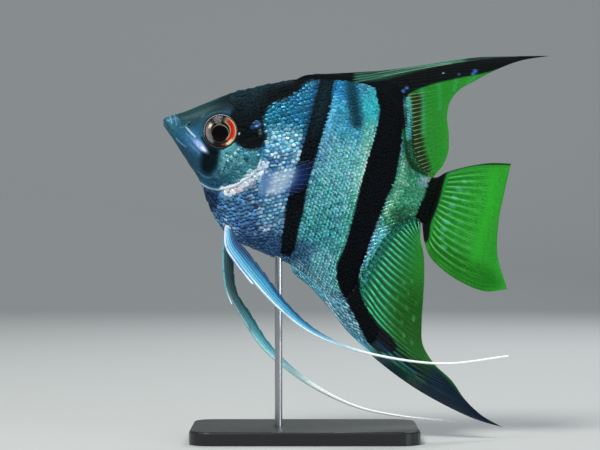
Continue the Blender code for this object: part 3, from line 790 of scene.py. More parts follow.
# ---- materials
def add_node(tree: bpy.types.NodeTree, kind: str, settings: dict | None = None,
             links: dict | None = None) -> bpy.types.Node:
    """Add a node with its settings and links.

    Args:
        tree: The material's or world's node tree.
        kind: The node's type.
        settings: Input sockets' values, or the node's own properties.
        links: For each input socket, the output that feeds it.

    Returns:
        The node.
    """
    node = tree.nodes.new(kind)
    for key, value in (settings or {}).items():
        if isinstance(key, int) or key in node.inputs:
            node.inputs[key].default_value = value
        else:
            setattr(node, key, value)
    for key, source in (links or {}).items():
        tree.links.new(source, node.inputs[key])
    return node


def start_material(name: str, inputs: dict[str, object]) -> bpy.types.Material:
    """Make a material and set its surface shader's inputs."""
    made = bpy.data.materials.new(name)
    made.use_nodes = True
    for key, value in inputs.items():
        made.node_tree.nodes["Principled BSDF"].inputs[key].default_value = value
    return made


def solid_colour(hex_colour: str) -> tuple[float, ...]:
    """A hex colour as the four linear numbers of a colour socket."""
    return (*to_linear(srgb(hex_colour)), 1.0)


def per_metre(size_mm: float) -> float:
    """The scale that gives a pattern features of a size in millimetres."""
    return 1.0 / (size_mm * MM)


@dataclass(frozen=True)
class PaintedFinish:
    """A finish whose colour is the piece's own markings, with the real surface's mottle."""

    name: str
    roughness: tuple[float, float] = (0.3, 0.45)
    metallic: float = 0.0
    ior: float = 1.36
    specular: float = 0.2
    coat: float = 0.0
    coat_roughness: float = 0.1
    mottle_mm: float = 0.6
    mottle: float = 0.3
    bump_mm: float = 0.35
    bump: float = 0.0
    see_through: bool = False
    shine_painted: bool = False  # the marking's alpha says where it shines
    matt_roughness: float = 0.75

    def build(self) -> bpy.types.Material:
        """Make the material."""
        made = start_material(self.name, {
            "Metallic": self.metallic, "IOR": self.ior, "Specular IOR Level": self.specular,
            "Coat Weight": self.coat, "Coat Roughness": self.coat_roughness, "Coat IOR": self.ior})
        tree = made.node_tree
        shader = tree.nodes["Principled BSDF"]
        place = add_node(tree, "ShaderNodeTexCoord").outputs["Object"]
        marking = add_node(tree, "ShaderNodeAttribute", {"attribute_name": "marking"})
        mottle = add_node(tree, "ShaderNodeTexNoise", {
            "Scale": per_metre(self.mottle_mm), "Detail": 3.0, "Roughness": 0.6}, {"Vector": place})
        value, rough = (
            add_node(tree, "ShaderNodeMapRange", {
                "From Min": 0.3, "From Max": 0.7, "To Min": low, "To Max": high}, {
                    "Value": mottle.outputs["Fac"]}).outputs["Result"]
            for low, high in ((1.0 - self.mottle, 1.0 + self.mottle), self.roughness))
        colour = add_node(tree, "ShaderNodeHueSaturation", {}, {
            "Color": marking.outputs["Color"], "Value": value})
        tree.links.new(colour.outputs["Color"], shader.inputs["Base Color"])
        if self.shine_painted:
            self.paint_shine(tree, shader, marking.outputs["Alpha"], rough)
        else:
            tree.links.new(rough, shader.inputs["Roughness"])
        if self.bump:
            grain = add_node(tree, "ShaderNodeTexNoise", {
                "Scale": per_metre(self.bump_mm), "Detail": 2.0}, {"Vector": place})
            bump = add_node(tree, "ShaderNodeBump", {
                "Strength": self.bump, "Distance": 0.1 * MM}, {"Height": grain.outputs["Fac"]})
            tree.links.new(bump.outputs["Normal"], shader.inputs["Normal"])
        if self.see_through:
            tree.links.new(marking.outputs["Alpha"], shader.inputs["Alpha"])
        return made

    def paint_shine(self, tree: bpy.types.NodeTree, shader: bpy.types.Node,
                    shine: bpy.types.NodeSocket, rough: bpy.types.NodeSocket) -> None:
        """Make the surface matt and plain where the marking's alpha is 0.

        Args:
            tree: The material's node tree.
            shader: Its surface shader.
            shine: The marking's alpha.
            rough: The roughness where it shines.
        """
        for name, full in (("Metallic", self.metallic), ("Coat Weight", self.coat)):
            part = add_node(tree, "ShaderNodeMath", {"operation": "MULTIPLY", 1: full}, {0: shine})
            tree.links.new(part.outputs["Value"], shader.inputs[name])
        mixed = add_node(tree, "ShaderNodeMix", {"data_type": "FLOAT", 2: self.matt_roughness},
                         {0: shine, 3: rough})
        tree.links.new(mixed.outputs[0], shader.inputs["Roughness"])


class Finish(Enum):
    """The materials that the fish wears, each named for the real surface."""

    # Slime-coated bare skin over guanine: satin, with a wet film that gives soft highlights.
    SKIN = PaintedFinish("wet_fish_skin", (0.4, 0.55), 0.2, 1.36, 0.1, 0.12, 0.16, 0.7, 0.24, 0.3,
                         0.35, shine_painted=True)
    # Guanine plates under a clear scale: half metallic, so they flash where they face a lamp.
    SCALE = PaintedFinish("guanine_fish_scale", (0.28, 0.44), 0.5, 1.36, 0.12, 0.28, 0.12, 0.5, 0.14,
                          shine_painted=True)
    # Thin elastic web between the rays: lets light through, wet and smooth.
    MEMBRANE = PaintedFinish("fin_membrane", (0.3, 0.45), 0.0, 1.36, 0.2, 0.05, 0.12, 0.8, 0.14,
                             see_through=True)
    # Jointed bony rays under thin skin: pale, a little glossy.
    RAY = PaintedFinish("bony_fin_ray", (0.34, 0.5), 0.0, 1.38, 0.2, 0.08, 0.12, 0.6, 0.16)
    # Iris behind a clear cornea: only the cornea's wet front meets the air.
    EYE = PaintedFinish("wet_cornea_and_iris", (0.4, 0.5), 0.0, 1.376, 0.0, 0.4, 0.03, 0.35, 0.2)

    def build(self) -> bpy.types.Material:
        """Make this finish's material once and give it back after that."""
        return bpy.data.materials.get(self.value.name) or self.value.build()


# ---- the flesh's skin
HEAD_FORMS = (
    (Stroke(((-0.4, -0.15), (1.4, -0.9), (2.9, -2.3)), 0.1, 0.16), -0.5),
    (Stroke(((0.6, 0.7), (2.2, -0.3), (3.6, -1.7)), 0.35, 0.4), 0.2),
    (Stroke(((0.7, -1.1), (1.7, -2), (3.2, -3.5)), 0.3, 0.35), 0.16),
    (Stroke(((1, 2.7), (1.9, 1.8), (2.6, 0.5)), 0.08, 0.18), -0.24),
    (Stroke(((2.1, 3.1), (3.3, 1.8), (4.2, 0)), 0.08), -0.26),
    (Stroke(((3.6, 3.3), (5, 1.8), (6.2, -0.3)), 0.1, 0.22), -0.24),
    (Stroke(((3.9, -1.9), (5.6, -3.6), (8.6, -7.4), (10.6, -10)), 0.12, 0.3), -0.16),
    (Blot((7.8, 1), (0.75, 0.75), 0, 0.4), 0.16),
    (Blot((7.8, 1), (0.34, 0.3), 0, 0.4), -0.65),
    (Blot((12.6, -3.9), (3.4, 1.3), 27), 0.22),
    (Stroke(((7.2, 0.1), (8.8, -0.9), (10.8, -1.9)), 0.18, 0.25), 0.12),
    (Stroke(((5.2, -3.8), (7, -4.8), (9, -5.5)), 0.15, 0.25), 0.08),
    (
        Stroke(((14.2, -11.6), (16.2, -12.4), (18.8, -12), (20.9, -9.8), (21.7, -6), (24.1, -1.2)),
            0.14, 0.22),
        -0.24,
    ),
    (
        Stroke(((14.6, -10.7), (16.4, -11.4), (18.3, -11), (20, -9.2), (20.9, -5.6), (23.3, -1)), 0.4,
            0.4),
        0.14,
    ),
    (Blot((16.8, -7.6), (2.4, 3.4), 10, 0.6), -0.22),
    (Blot((12, -8.6), (2.6, 1.6), 40, 0.6), 0.14),
    (Blot((26.5, 1.2), (2.4, 2), 0, 0.7), -0.18),
    (Blot((13.5, 8.6), (4.5, 1.6), -38, 0.7), -0.18),
    (Stroke(((32, -6.4), (33.2, -12.4)), 0.5, 0.6), 0.35),
)
GILL_COVER = Patch(GILL_RIM + ((23, 4), (20, -3), (16.5, -7.5), (14, -11)), 0.1)


@dataclass(frozen=True)
class HeadRelief:
    """The raised and sunk forms of the head, in millimetres above the plain body."""

    forms: tuple[tuple[Shape, float], ...] = HEAD_FORMS
    rim_rise: float = 0.36  # of the gill cover's edge
    rim_run: float = 5.0
    slot_depth: float = 0.26  # behind that edge
    orbit_rings: Points = ((0.6, 0.45, 0.12), (1.9, 0.7, -0.096))  # off the eye, width, rise
    eye_seen: float = 5.22  # the eye's radius in the skin
    socket_depth: float = 2.6

    def height(self, spots: Array) -> Array:
        """Height of the relief at each (along, up) spot."""
        total = np.zeros(len(spots))
        for shape, rise in self.forms:
            total += shape.weight(spots) * rise
        depth = GILL_COVER.depth(spots)
        run = np.exp(-np.maximum(depth, 0.0) / self.rim_run)
        rearward = smooth(14.0, 21.0, spots[:, 0])
        total += self.rim_rise * fade(-depth, 0.0, 0.14) * run * rearward
        total -= self.slot_depth * bell(depth, -0.42, 0.3) * smooth(15.0, 24.0, spots[:, 0])
        radius = np.hypot(*(spots - EYE_SEEN).T)
        for off, width, rise in self.orbit_rings:
            total += rise * bell(radius, self.eye_seen + off, width)
        return total - self.socket_depth * fade(radius, self.eye_seen - 0.22, 0.16)


@dataclass
class Flesh:
    """One skin over head, jaw, gill covers, trunk and tail stalk."""

    place: FishFrame
    form: BodyForm
    markings: Markings
    relief: HeadRelief
    head_rings: int = 165
    trunk_rings: int = 125
    head_end: float = 33.0
    sides: int = 276
    bare_share: float = 0.55  # how bright bare skin is, from deep to bright
    covered_share: float = 0.12  # the same between the scales, kept dark as painted shade in the gaps

    def stations(self) -> Array:
        """The rings' places along the body, closer together on the head."""
        tip = self.form.tip_round * (1 - np.cos(np.linspace(0, math.pi / 2, 9)[:-1]))
        head = np.linspace(self.form.tip_round, self.head_end, self.head_rings)[:-1]
        start = self.form.rear_end - self.form.rear_round
        trunk = np.linspace(self.head_end, start, self.trunk_rings)[:-1]
        stern = start + self.form.rear_round * np.sin(np.linspace(0, math.pi / 2, 8))
        return np.concatenate((tip, head, trunk, stern))

    def turns(self, along: float) -> tuple[Array, Array]:
        """Section angles spaced evenly over the section's length, and each one's side."""
        half = self.sides // 2
        fine = np.linspace(-math.pi / 2, math.pi / 2, 400)
        spots = self.form.point(np.full_like(fine, max(along, 0.4)), fine, 1.0)
        length = arc_length(spots[:, 1:])
        near = np.interp(np.linspace(0, length[-1], half + 1), length, fine)
        turns = np.concatenate((near, near[::-1][1:]))
        sides = np.concatenate((np.full(half + 1, -1.0), np.full(half, 1.0)))
        return turns, sides

    def build(self) -> None:
        """Loft the rings, close them, raise the relief and paint the markings."""
        stations = self.stations()
        master = Master.grid(len(stations) - 1, self.sides)
        ring = np.rint(master.points[:, 0] * (len(stations) - 1)).astype(int)
        step = np.rint(master.points[:, 1] * self.sides).astype(int)
        turns, sides = np.array([self.turns(along) for along in stations])[ring, :, step].T
        surface = self.form.point(stations[ring], turns, sides)
        mesh = master.repeat("skin", self.place.world(surface)[None])
        mend(mesh, WELD)
        points = values_of(mesh.vertices, "co", 3)
        spots = self.place.own(points)[:, [0, 2]]
        rise = (self.relief.height(spots) * MM)[:, None]
        raised = points + values_of(mesh.vertices, "normal", 3) * rise
        mesh.vertices.foreach_set("co", raised.ravel())
        mesh.update()
        bright, deep = self.markings.body(spots)
        # Under the scales the skin is painted near its deep colour: painted shade in the gaps between
        # them.
        bare = np.maximum(self.markings.head_share(spots), 1.0 - scaled_share(spots))
        share = self.covered_share + (self.bare_share - self.covered_share) * bare
        paint(mesh, mix(deep, bright, share), shine_of(bright))
        nodes = ("head", "lower_jaw", "gill_cover_left", "gill_cover_right", "trunk", "tail_stalk")
        show(mesh, Finish.SKIN, nodes)


def shine_of(colour: Array) -> Array:
    """How much guanine lies under a colour: none under black ink."""
    return smooth(0.08, 0.4, colour.mean(axis=-1))


BEFORE_BAR = Bar(((-36, 5, 46.4), (-16, 5, 44.4), (0, 5, 43.5), (32, 5, 43.1)), 0.1)
BARE_HEAD = Patch(GILL_RIM + ((24.5, 4.6), (22.6, 8), (18.5, 11.5), (17.5, 18), (-5, 14), (-5, -12),
    (13, -18)), 0.2, False)
PECTORAL_FOOT = Stroke(((32.3, -6.6), (33.4, -12.4)), 0.9)
CHEEK = Patch(((19.2, -3.6), (22, -1.4), (24.8, 0.4), (27.6, 2.4), (29.6, 0.6), (30.2, -2.6),
    (29.9, -5.2), (28.2, -8.4), (25.6, -11), (21.6, -13), (18.4, -13.4), (19.6, -10.6), (20.2, -7.6)),
    0.2)
CHEEK_FOLD = Stroke(((24, -1), (22.9, -3.4), (21.3, -6)), 0.5, 0.1)
NAPE = Patch(((17.6, 11), (16.5, 13.2), (18.8, 14.6), (22, 16.4), (23.6, 11), (25.6, 6), (26.6, 4.6),
    (24.6, 2.2), (22.8, 5.4), (20.6, 8.8)), 0.2)
FRONT_FLANK = Blot((37, -5), (8, 16), 0, 0.35)
BREAST = Patch(((15, -14), (24, -14), (29, -12.5), (31.5, -14), (34, -17), (38, -21), (40, -30),
    (20, -30)), 1.5)
STALK = Blot((76, 0), (7, 12), 0, 0.3)
LOW_BELLY = Blot((37, -26.4), (6, 2.6), 10)


def scaled_share(spots: Array) -> Array:
    """1 where the body wears its large scales, 0 on the head and where fins are rooted."""
    return (1.0 - BARE_HEAD.weight(spots)) * (1.0 - PECTORAL_FOOT.weight(spots))


def front_share(spots: Array) -> Array:
    """The share of the body's scales that lie before the middle of the second bar."""
    return scaled_share(spots) * BEFORE_BAR.weight(spots)


def rear_share(spots: Array) -> Array:
    """The share of the body's scales that lie behind the middle of the second bar."""
    return scaled_share(spots) * (1.0 - BEFORE_BAR.weight(spots))


def cheek_share(spots: Array) -> Array:
    """1 where the cheek and gill cover wear their small scales."""
    return CHEEK.weight(spots) * (1.0 - CHEEK_FOLD.weight(spots))


# ---- the scales
MID_BODY = 47.0  # where the scales are largest
SCALED_LENGTH = 66.0
LONGEST_ARC = 44.0  # from the fish's axis round to back or belly
COLUMN_STEP = 0.87  # between columns of a honeycomb, over its pitch
UNWRAP = (90.0, 92.0)  # length and height in mm that the skin's unwrap spans


@dataclass(frozen=True)
class ScaleField:
    """A patch of scales with its own size and lie."""

    name: str
    room: Callable[[Array], Array]
    pitch: float  # between neighbours in a column
    reach: tuple[float, float]  # where the columns start and end along the body
    lift: float = 0.16  # how far a scale's free edge stands off
    contrast: float = 1.0
    glint: float = 0.06  # share of scales painted near white as glints
    thin_ends: float = 0.25  # how much smaller scales are at the body's ends
    thin_edges: float = 0.35  # the same toward back and belly
    stray: float = 0.055  # how far a scale strays from its row, over the pitch

    def columns(self) -> Array:
        """Places of the columns along the body."""
        low, high = self.reach
        found = [low]
        while found[-1] < high:
            here = found[-1]
            off = abs(2 * (here - MID_BODY) / SCALED_LENGTH)
            found.append(here + self.pitch * COLUMN_STEP * (1 - self.thin_ends * min(1.0, off ** 2)))
        return np.array(found)

    def rows(self) -> Array:
        """Half-pitch stops of arc length from the fish's axis, belly to back."""
        found = [0.0]
        while found[-1] < LONGEST_ARC:
            fine = self.pitch * (1 - self.thin_edges * float(smooth(16.0, 36.0, found[-1])))
            found.append(found[-1] + 0.5 * fine)
        upper = np.array(found)
        return np.concatenate((-upper[:0:-1], upper))


@dataclass
class Plates:
    """Solid plates over the skin, each painted and unwrapped as one small tile."""

    place: FishFrame
    form: BodyForm
    markings: Markings
    plate: Master = field(default_factory=lambda: Master.plate(5, 4), kw_only=True)
    bake_patch: float = field(default=0.003, kw_only=True)

    def paint_plates(self, mesh: bpy.types.Mesh, bright: Array, deep: Array, inked: Array,
                     lit: Array) -> None:
        """Paint the joined plates.

        Args:
            mesh: The joined plates.
            bright: Each plate's colour where it is painted as lit.
            deep: Each plate's colour in its painted shade.
            inked: (along, up) at which each vertex meets the black ink.
            lit: How far each vertex goes from painted shade to painted light.
        """
        tile = len(self.plate.points)
        bright, deep = lay(INK_ZONES, inked, np.repeat(bright, tile, axis=0),
                           np.repeat(deep, tile, axis=0))
        paint(mesh, mix(deep, bright, lit), shine_of(bright))

    def lay_out(self, mesh: bpy.types.Mesh, along: Array, rise: Array) -> None:
        """Give each plate its patch of the skin's unwrap, for baking."""
        x, y, _ = self.plate.points.T * 0.5 * self.bake_patch
        u = along[:, None] / UNWRAP[0] + x
        v = 0.5 + rise[:, None] / UNWRAP[1] + y
        flat = np.stack((u, v), axis=-1).reshape(-1, 2)
        loops = values_of(mesh.loops, "vertex_index", kind=np.int32)
        layer = mesh.uv_layers.new(name="OFBake")
        layer.uv.foreach_set("vector", flat[loops].astype(np.float32).ravel())


@dataclass
class ScaleCoat(Plates):
    """The overlapping scales of one field, on one side."""

    relief: HeadRelief
    area: ScaleField
    dome: float = 0.1
    foot: float = 0.2
    length: float = 0.9  # half length over pitch
    width: float = 0.64  # half width over pitch
    clearance: float = 0.03  # between skin and scale
    eye_gap: float = 1.2  # bare ring round the eye
    tilt_stray: float = 0.12
    roll_stray: float = 0.08
    size_stray: float = 0.03
    # colour of the painted glints
    flash: str = "#f0fbff"

    def lattice(self, chance: np.random.Generator) -> Array:
        """Each scale's place along, section angle, arc from the fish's axis, and pitch."""
        rows = self.area.rows()
        steps = np.gradient(rows) * 2
        fine = np.linspace(-math.pi / 2 + 0.02, math.pi / 2 - 0.02, 300)
        found = []
        for i, along in enumerate(self.area.columns()):
            spots = self.form.point(np.full_like(fine, along), fine, 1.0)
            length = arc_length(spots[:, 1:])
            length -= np.interp(0.0, spots[:, 2], length)
            picked = np.arange(i % 2, len(rows), 2)
            arc = rows[picked] + chance.normal(0.0, self.area.stray, len(picked)) * self.area.pitch
            kept = (arc > length[0] + 0.2) & (arc < length[-1] - 0.2)
            arc = arc[kept]
            turn = np.interp(arc, length, fine)
            shaken = along + chance.normal(0.0, self.area.stray, len(arc)) * self.area.pitch
            found.append(np.stack((shaken, turn, arc, steps[picked][kept]), axis=1))
        return np.concatenate(found)

    def build(self, side: Side) -> None:
        """Lay the scales on one side and paint each from the markings at its root."""
        chance = np.random.default_rng(SEED + len(self.area.name))
        table = self.lattice(chance)
        sign = float(side.value)
        root = self.form.point(table[:, 0], table[:, 1], sign)
        spots = root[:, [0, 2]]
        off = np.hypot(*(spots - EYE_SEEN).T)
        kept = (self.area.room(spots) > 0.5) & (off > self.relief.eye_seen + self.eye_gap)
        root, spots = root[kept], spots[kept]
        along, turn, arc, pitch = table[kept].T
        rearward, upward, outward = self.form.axes_at(along, turn, sign)
        x, y, z = self.plate.points.T
        tilt = self.area.lift * (1 + chance.normal(0.0, self.tilt_stray, len(along)))
        tilt = (tilt * (1 - 0.5 * calm_back(spots)))[:, None]
        roll = chance.normal(0.0, self.roll_stray, len(along))[:, None]
        size = (pitch * (1 + chance.normal(0.0, self.size_stray, len(along))))[:, None]
        lifted = (np.where(z > 0, z * self.dome, z * self.foot) + x * tilt + y * roll) * size
        lifted = lifted + self.relief.height(spots)[:, None] + self.clearance
        run = (x * self.length * size)[..., None] * rearward[:, None]
        rise = (y * self.width * size)[..., None] * upward[:, None]
        points = root[:, None] + run + rise + lifted[..., None] * outward[:, None]
        name = "scales_" + self.area.name + "_" + side.word
        mesh = self.plate.repeat(name, self.place.world(points))
        self.paint_scales(mesh, spots, points[..., [0, 2]].reshape(-1, 2), chance)
        self.lay_out(mesh, along, arc)
        show(mesh, Finish.SCALE)

    def paint_scales(self, mesh: bpy.types.Mesh, spots: Array, corners: Array,
                     chance: np.random.Generator) -> None:
        """Paint each scale: a spot on the front flank, painted highlights and shadow pits behind it.

        Args:
            mesh: The joined scales.
            spots: (along, up) of each scale's root.
            corners: (along, up) of every vertex, over which the black ink is drawn.
            chance: Source of the small irregularities.
        """
        shown = spots + np.array([0.42 * self.length * self.area.pitch, 0.0])
        bright, deep = self.markings.shine(shown)
        x, y, z = self.plate.points.T
        count = len(spots)
        front = FRONT_FLANK.weight(spots)
        patchy = drift(spots)
        # Painted glints: a few lit scales, most of them on the front flank, are painted near white.
        flash = chance.random(count) < self.area.glint * (0.2 + 5 * front)
        bright = mix(bright, srgb(self.flash), 0.6 * flash * (bright.mean(axis=1) > 0.3))
        own = 1 + chance.normal(0.0, 0.11, count) * (1 + 1.3 * front) + 0.1 * patchy
        own = own * (1 - 0.4 * front * (chance.random(count) < 0.22))
        hue = 1 + chance.normal(0.0, 0.035, bright.shape)
        bright = np.clip(bright * own[:, None] * hue, 0.0, 1.0)
        # The front flank's spots: each scale's bright middle, partly a painted highlight.
        spread = chance.uniform(0.4, 1.7, count)[:, None]
        slant = chance.normal(0.4, 0.5, count)[:, None]
        rise = y - slant * (x - 0.36)
        spotted = np.exp(-(((x - 0.36) / 0.5) ** 2 + (rise / 0.54) ** 2) / spread) ** 1.3
        spotted = 0.06 + 1.04 * spotted
        # Behind them a net: a painted highlight on the upper rear of each rim, and a painted shadow pit
        # just behind the edge of the scale before it.
        rim = smooth(0.55, 0.9, np.hypot(x, y)) * (x > -0.2)
        upper_rear_highlight = np.clip(0.55 * x + 0.8 * y, -0.6, 1.0)
        aside = chance.normal(0.0, 0.13, (2, count, 1))
        pit_shadow = np.exp(-(((x - 0.14 - aside[0]) / 0.33) ** 2 + ((y + 0.06 - aside[1]) / 0.4) ** 2))
        dark = chance.random(count) < 0.34 + 0.22 * patchy
        depth = np.where(dark, 1.1, chance.uniform(0.1, 0.6, count))[:, None]
        netted = 0.58 + 0.55 * rim * upper_rear_highlight - depth * pit_shadow
        row = 0.867 * self.width * y - 0.498 * self.length * (x - 0.45)
        streaked = 0.1 + 0.8 * smooth(-0.34, 0.1, row)
        front, breast = front[:, None], BREAST.weight(spots)[:, None]
        lit = netted * (1 - front) + spotted * front
        lit = (lit * (1 - breast) + streaked * breast) * (z > -0.5)
        contrast = self.area.contrast * (1 - 0.7 * calm_back(spots))[:, None]
        lit = np.clip(0.5 + (lit - 0.5) * contrast, -0.35, 1.3).ravel()
        inked = 0.45 * corners + 0.55 * np.repeat(shown, len(x), axis=0)
        self.paint_plates(mesh, bright, deep, inked, lit)


def drift(spots: Array) -> Array:
    """A slow, uneven change over the body, from -1 to 1, a few millimetres from light to dark."""
    along, up = spots[:, 0], spots[:, 1]
    return np.sin(1.3 * along + 2.1 * np.sin(0.9 * up)) * np.sin(1.7 * up + 1.4 * np.sin(1.1 * along))


def calm_back(spots: Array) -> Array:
    """1 along the upper back and on the tail stalk, where the scales hardly stand out."""
    lower = np.maximum(STALK.weight(spots), LOW_BELLY.weight(spots))
    return np.maximum(smooth(8.0, 20.0, spots[:, 1]), 0.7 * lower)


# ---- the eyes
@dataclass(frozen=True)
class IrisMark:
    """A part of the iris: a ring segment of one colour."""

    colour: str
    inner: float
    outer: float
    middle: float = 0.0  # degrees, 0 toward the tail and 90 up
    half: float = 200.0
    strength: float = 1.0
    soft: float = 0.1
    soft_turn: float = 9.0

    def cover(self, radius: Array, angle: Array) -> Array:
        """How strongly the mark covers each spot of the eye."""
        off = np.abs((angle - self.middle + 180.0) % 360.0 - 180.0)
        ring = np.abs(radius - 0.5 * (self.inner + self.outer))
        ring_cover = fade(ring, 0.5 * (self.outer - self.inner), self.soft)
        return self.strength * ring_cover * fade(off, self.half, self.soft_turn)


IRIS_MARKS = (
    IrisMark("#5b565a", 2.75, 4.4, 180, 44),
    IrisMark("#857a78", 3.5, 4.25, 186, 26, 0.8),
    # A cream patch at the iris's upper front, painted as a highlight.
    IrisMark("#dcdabd", 3, 3.75, 152, 11),
    IrisMark("#6a6b78", 3.3, 4.3, 222, 16, 0.9),
    IrisMark("#8d9279", 2.72, 3.25, 5, 62, 0.9),
    IrisMark("#b1200f", 3.05, 4.35, 0, 54, 1, 0.12),
    IrisMark("#8e1d12", 3.3, 3.7, 12, 34, 0.6, 0.25),
    IrisMark("#d9503a", 3.75, 4.1, -14, 30, 0.6, 0.2),
    IrisMark("#9c6c5e", 3, 4.2, 62, 8, 0.9),
    IrisMark("#c79f84", 4.22, 4.6, 4, 64, 0.95),
    IrisMark("#e0cfaa", 3.75, 4.55, -52, 17, 0.95),
    IrisMark("#b53c2a", 3.7, 4.2, -78, 6, 0.95),
    IrisMark("#5d6963", 3.02, 3.1, 96, 40, 0.85, 0.06),
    IrisMark("#525e5b", 3.42, 3.5, 96, 42, 0.8, 0.06),
    IrisMark("#4d5857", 3.84, 3.92, 98, 44, 0.75, 0.06),
    IrisMark("#3f4948", 4.24, 4.3, 100, 46, 0.7, 0.06),
    IrisMark("#0a0d11", 4.5, 4.7, 170, 125, 0.9),
    IrisMark("#7f8a92", 4.74, 4.9, 0, 200, 0.55, 0.06),
    IrisMark("#aab4ba", 4.74, 4.9, 125, 70, 0.9, 0.06),
)


@dataclass
class Eye:
    """One eyeball: a low wet dome that shows pupil and iris, and its ball behind."""

    place: FishFrame
    form: BodyForm
    relief: HeadRelief
    side: Side
    steps: int = 144
    rise: float = 1.0  # height of the dome over its rim
    sunk: float = 0.16  # the rim's depth under the skin
    ball: float = 2.2
    lips: Points = ((2.56, 0.12, 0.05), (4.8, 0.1, 0.08))  # radius, width, rise
    fold_gap: float = 0.42
    fold_rise: float = 0.014
    pupil: float = 2.35
    pupil_shift: tuple[float, float] = (-0.1, -0.75)
    pupil_black: str = "#020203"
    pupil_ring: str = "#c3c2a8"
    ground: str = "#14100f"  # of the iris, under its marks

    def profile(self) -> Array:
        """Radius and height, from the middle of the cornea round to the back."""
        rim = self.relief.eye_seen
        radius = np.linspace(0.0, rim, 64)
        height = self.rise * (1 - (radius / rim) ** 2) ** 0.85 - self.sunk
        height += 0.1 * fade(radius, self.pupil - 0.1, 0.15)
        height += self.fold_rise * np.cos(radius * 2 * math.pi / self.fold_gap) * (radius > 2.8)
        for middle, width, lip in self.lips:
            height += lip * bell(radius, middle, width)
        angle = np.linspace(0.0, math.pi / 2, 14)[1:]
        back = np.stack((rim * np.cos(angle), -self.sunk - self.ball * np.sin(angle)), axis=1)
        return np.concatenate((np.stack((radius, height), axis=1), back))

    def colour(self, x: Array, y: Array) -> Array:
        """The sRGB colour at each spot of the dome, x rearward and y up in the fish's frame."""
        level_x = x * math.cos(PITCH) + y * math.sin(PITCH)
        level_y = -x * math.sin(PITCH) + y * math.cos(PITCH)
        radius = np.hypot(level_x, level_y)
        angle = np.degrees(np.arctan2(level_y, level_x))
        colour = np.tile(srgb(self.ground), (len(x), 1))
        fibre = 1 + 0.13 * np.sin(angle * 1.9 + 2 * np.sin(radius * 3)) + 0.09 * np.sin(angle * 0.83)
        for mark in IRIS_MARKS:
            colour = mix(colour, srgb(mark.colour), mark.cover(radius, angle))
        colour = np.clip(colour * fibre[:, None], 0.0, 1.0)
        from_pupil = np.hypot(level_x - self.pupil_shift[0], level_y - self.pupil_shift[1])
        ring = fade(np.abs(from_pupil - self.pupil - 0.2), 0.07, 0.07)
        bright = 0.5 + 0.35 * np.cos(np.radians(angle - 60.0))
        colour = mix(colour, srgb(self.pupil_ring), ring * bright)
        return mix(colour, srgb(self.pupil_black), fade(from_pupil, self.pupil, 0.06))

    def build(self) -> None:
        """Spin the profile, seat it in the socket and paint pupil and iris."""
        bm = bmesh.new()
        row = [bm.verts.new((r, 0.0, h)) for r, h in self.profile()]
        for near, far in zip(row, row[1:]):
            bm.edges.new((near, far))
        bmesh.ops.spin(bm, geom=bm.verts[:] + bm.edges[:], cent=(0, 0, 0), axis=(0, 0, 1),
                       dvec=(0, 0, 0), angle=2 * math.pi, steps=self.steps, use_merge=True)
        bmesh.ops.remove_doubles(bm, verts=bm.verts, dist=1e-4)
        ball = Master.from_bmesh(bm)
        x, y, height = ball.points.T
        sign = float(self.side.value)
        along, up = EYE_SEEN
        reach = self.relief.eye_seen
        outs = self.form.out_at(np.array([along - reach, along + reach, along, along]),
                                np.array([up, up, up - reach, up + reach]))
        fore = (outs[1] - outs[0]) / (2 * reach)
        rise = (outs[3] - outs[2]) / (2 * reach)
        outward = unit(np.array([-fore, sign, -rise]))
        rearward = np.array([1.0, sign * fore, 0.0])
        upward = np.array([0.0, sign * rise, 1.0])
        centre = np.array([along, sign * outs.mean(), up])
        points = centre + x[:, None] * rearward + y[:, None] * upward + height[:, None] * outward
        mesh = ball.repeat("eyeball_" + self.side.word, self.place.world(points)[None])
        mend(mesh)
        paint(mesh, self.colour(x, y))
        show(mesh, Finish.EYE, ("eye_" + self.side.word,))


# ---- the fins
@dataclass(frozen=True)
class FinLayer:
    """A soft area of a fin: its colour, and how dense the web is there."""

    shape: Shape
    colour: str
    density: float
    strength: float = 1.0


@dataclass(frozen=True)
class FinPattern:
    """A fin's colours from root to rim, with layers over them."""

    root: tuple[str, float]
    rim: tuple[str, float]
    layers: tuple[FinLayer, ...]
    ray_tint: str
    ray_share: tuple[float, float] = (0.6, 0.3)  # at the root and at the rim
    dark: tuple[Shape, ...] = ()  # where the rays are as dark as the web
    stripe: float = 0.0  # how strongly the web is striped at its root

    def ray_at(self, spots: Array, t: Array) -> Array:
        """How far the rays' own tint shows at each (along, up) spot."""
        share = self.ray_share[0] + (self.ray_share[1] - self.ray_share[0]) * smooth(0.1, 0.8, t)
        for shape in self.dark:
            share = share * (1 - shape.weight(spots))
        return share

    def read(self, spots: Array, t: Array) -> tuple[Array, Array]:
        """Colour and density at each (along, up) spot; t runs from root to rim."""
        part = np.clip(t, 0.0, 1.0)
        colour = mix(srgb(self.root[0]), srgb(self.rim[0]), part)
        density = self.root[1] * (1 - part) + self.rim[1] * part
        for layer in self.layers:
            cover = layer.shape.weight(spots) * layer.strength
            colour = mix(colour, srgb(layer.colour), cover)
            density = density + (layer.density - density) * cover
        return colour, density


def dots(colour: str, centres: Points, radius: float, density: float = 0.9,
         strength: float = 0.9, stretch: float = 1.0, turn: float = 0.0) -> tuple[FinLayer, ...]:
    """A row of soft round or drawn-out spots of uneven size."""
    found = []
    for i, centre in enumerate(centres):
        own = radius * (1 + 0.25 * math.sin(2.4 * i))
        shape = Blot(centre, (own * stretch, own), turn, 0.6)
        found.append(FinLayer(shape, colour, density, strength * (0.85 + 0.15 * math.cos(1.7 * i))))
    return tuple(found)


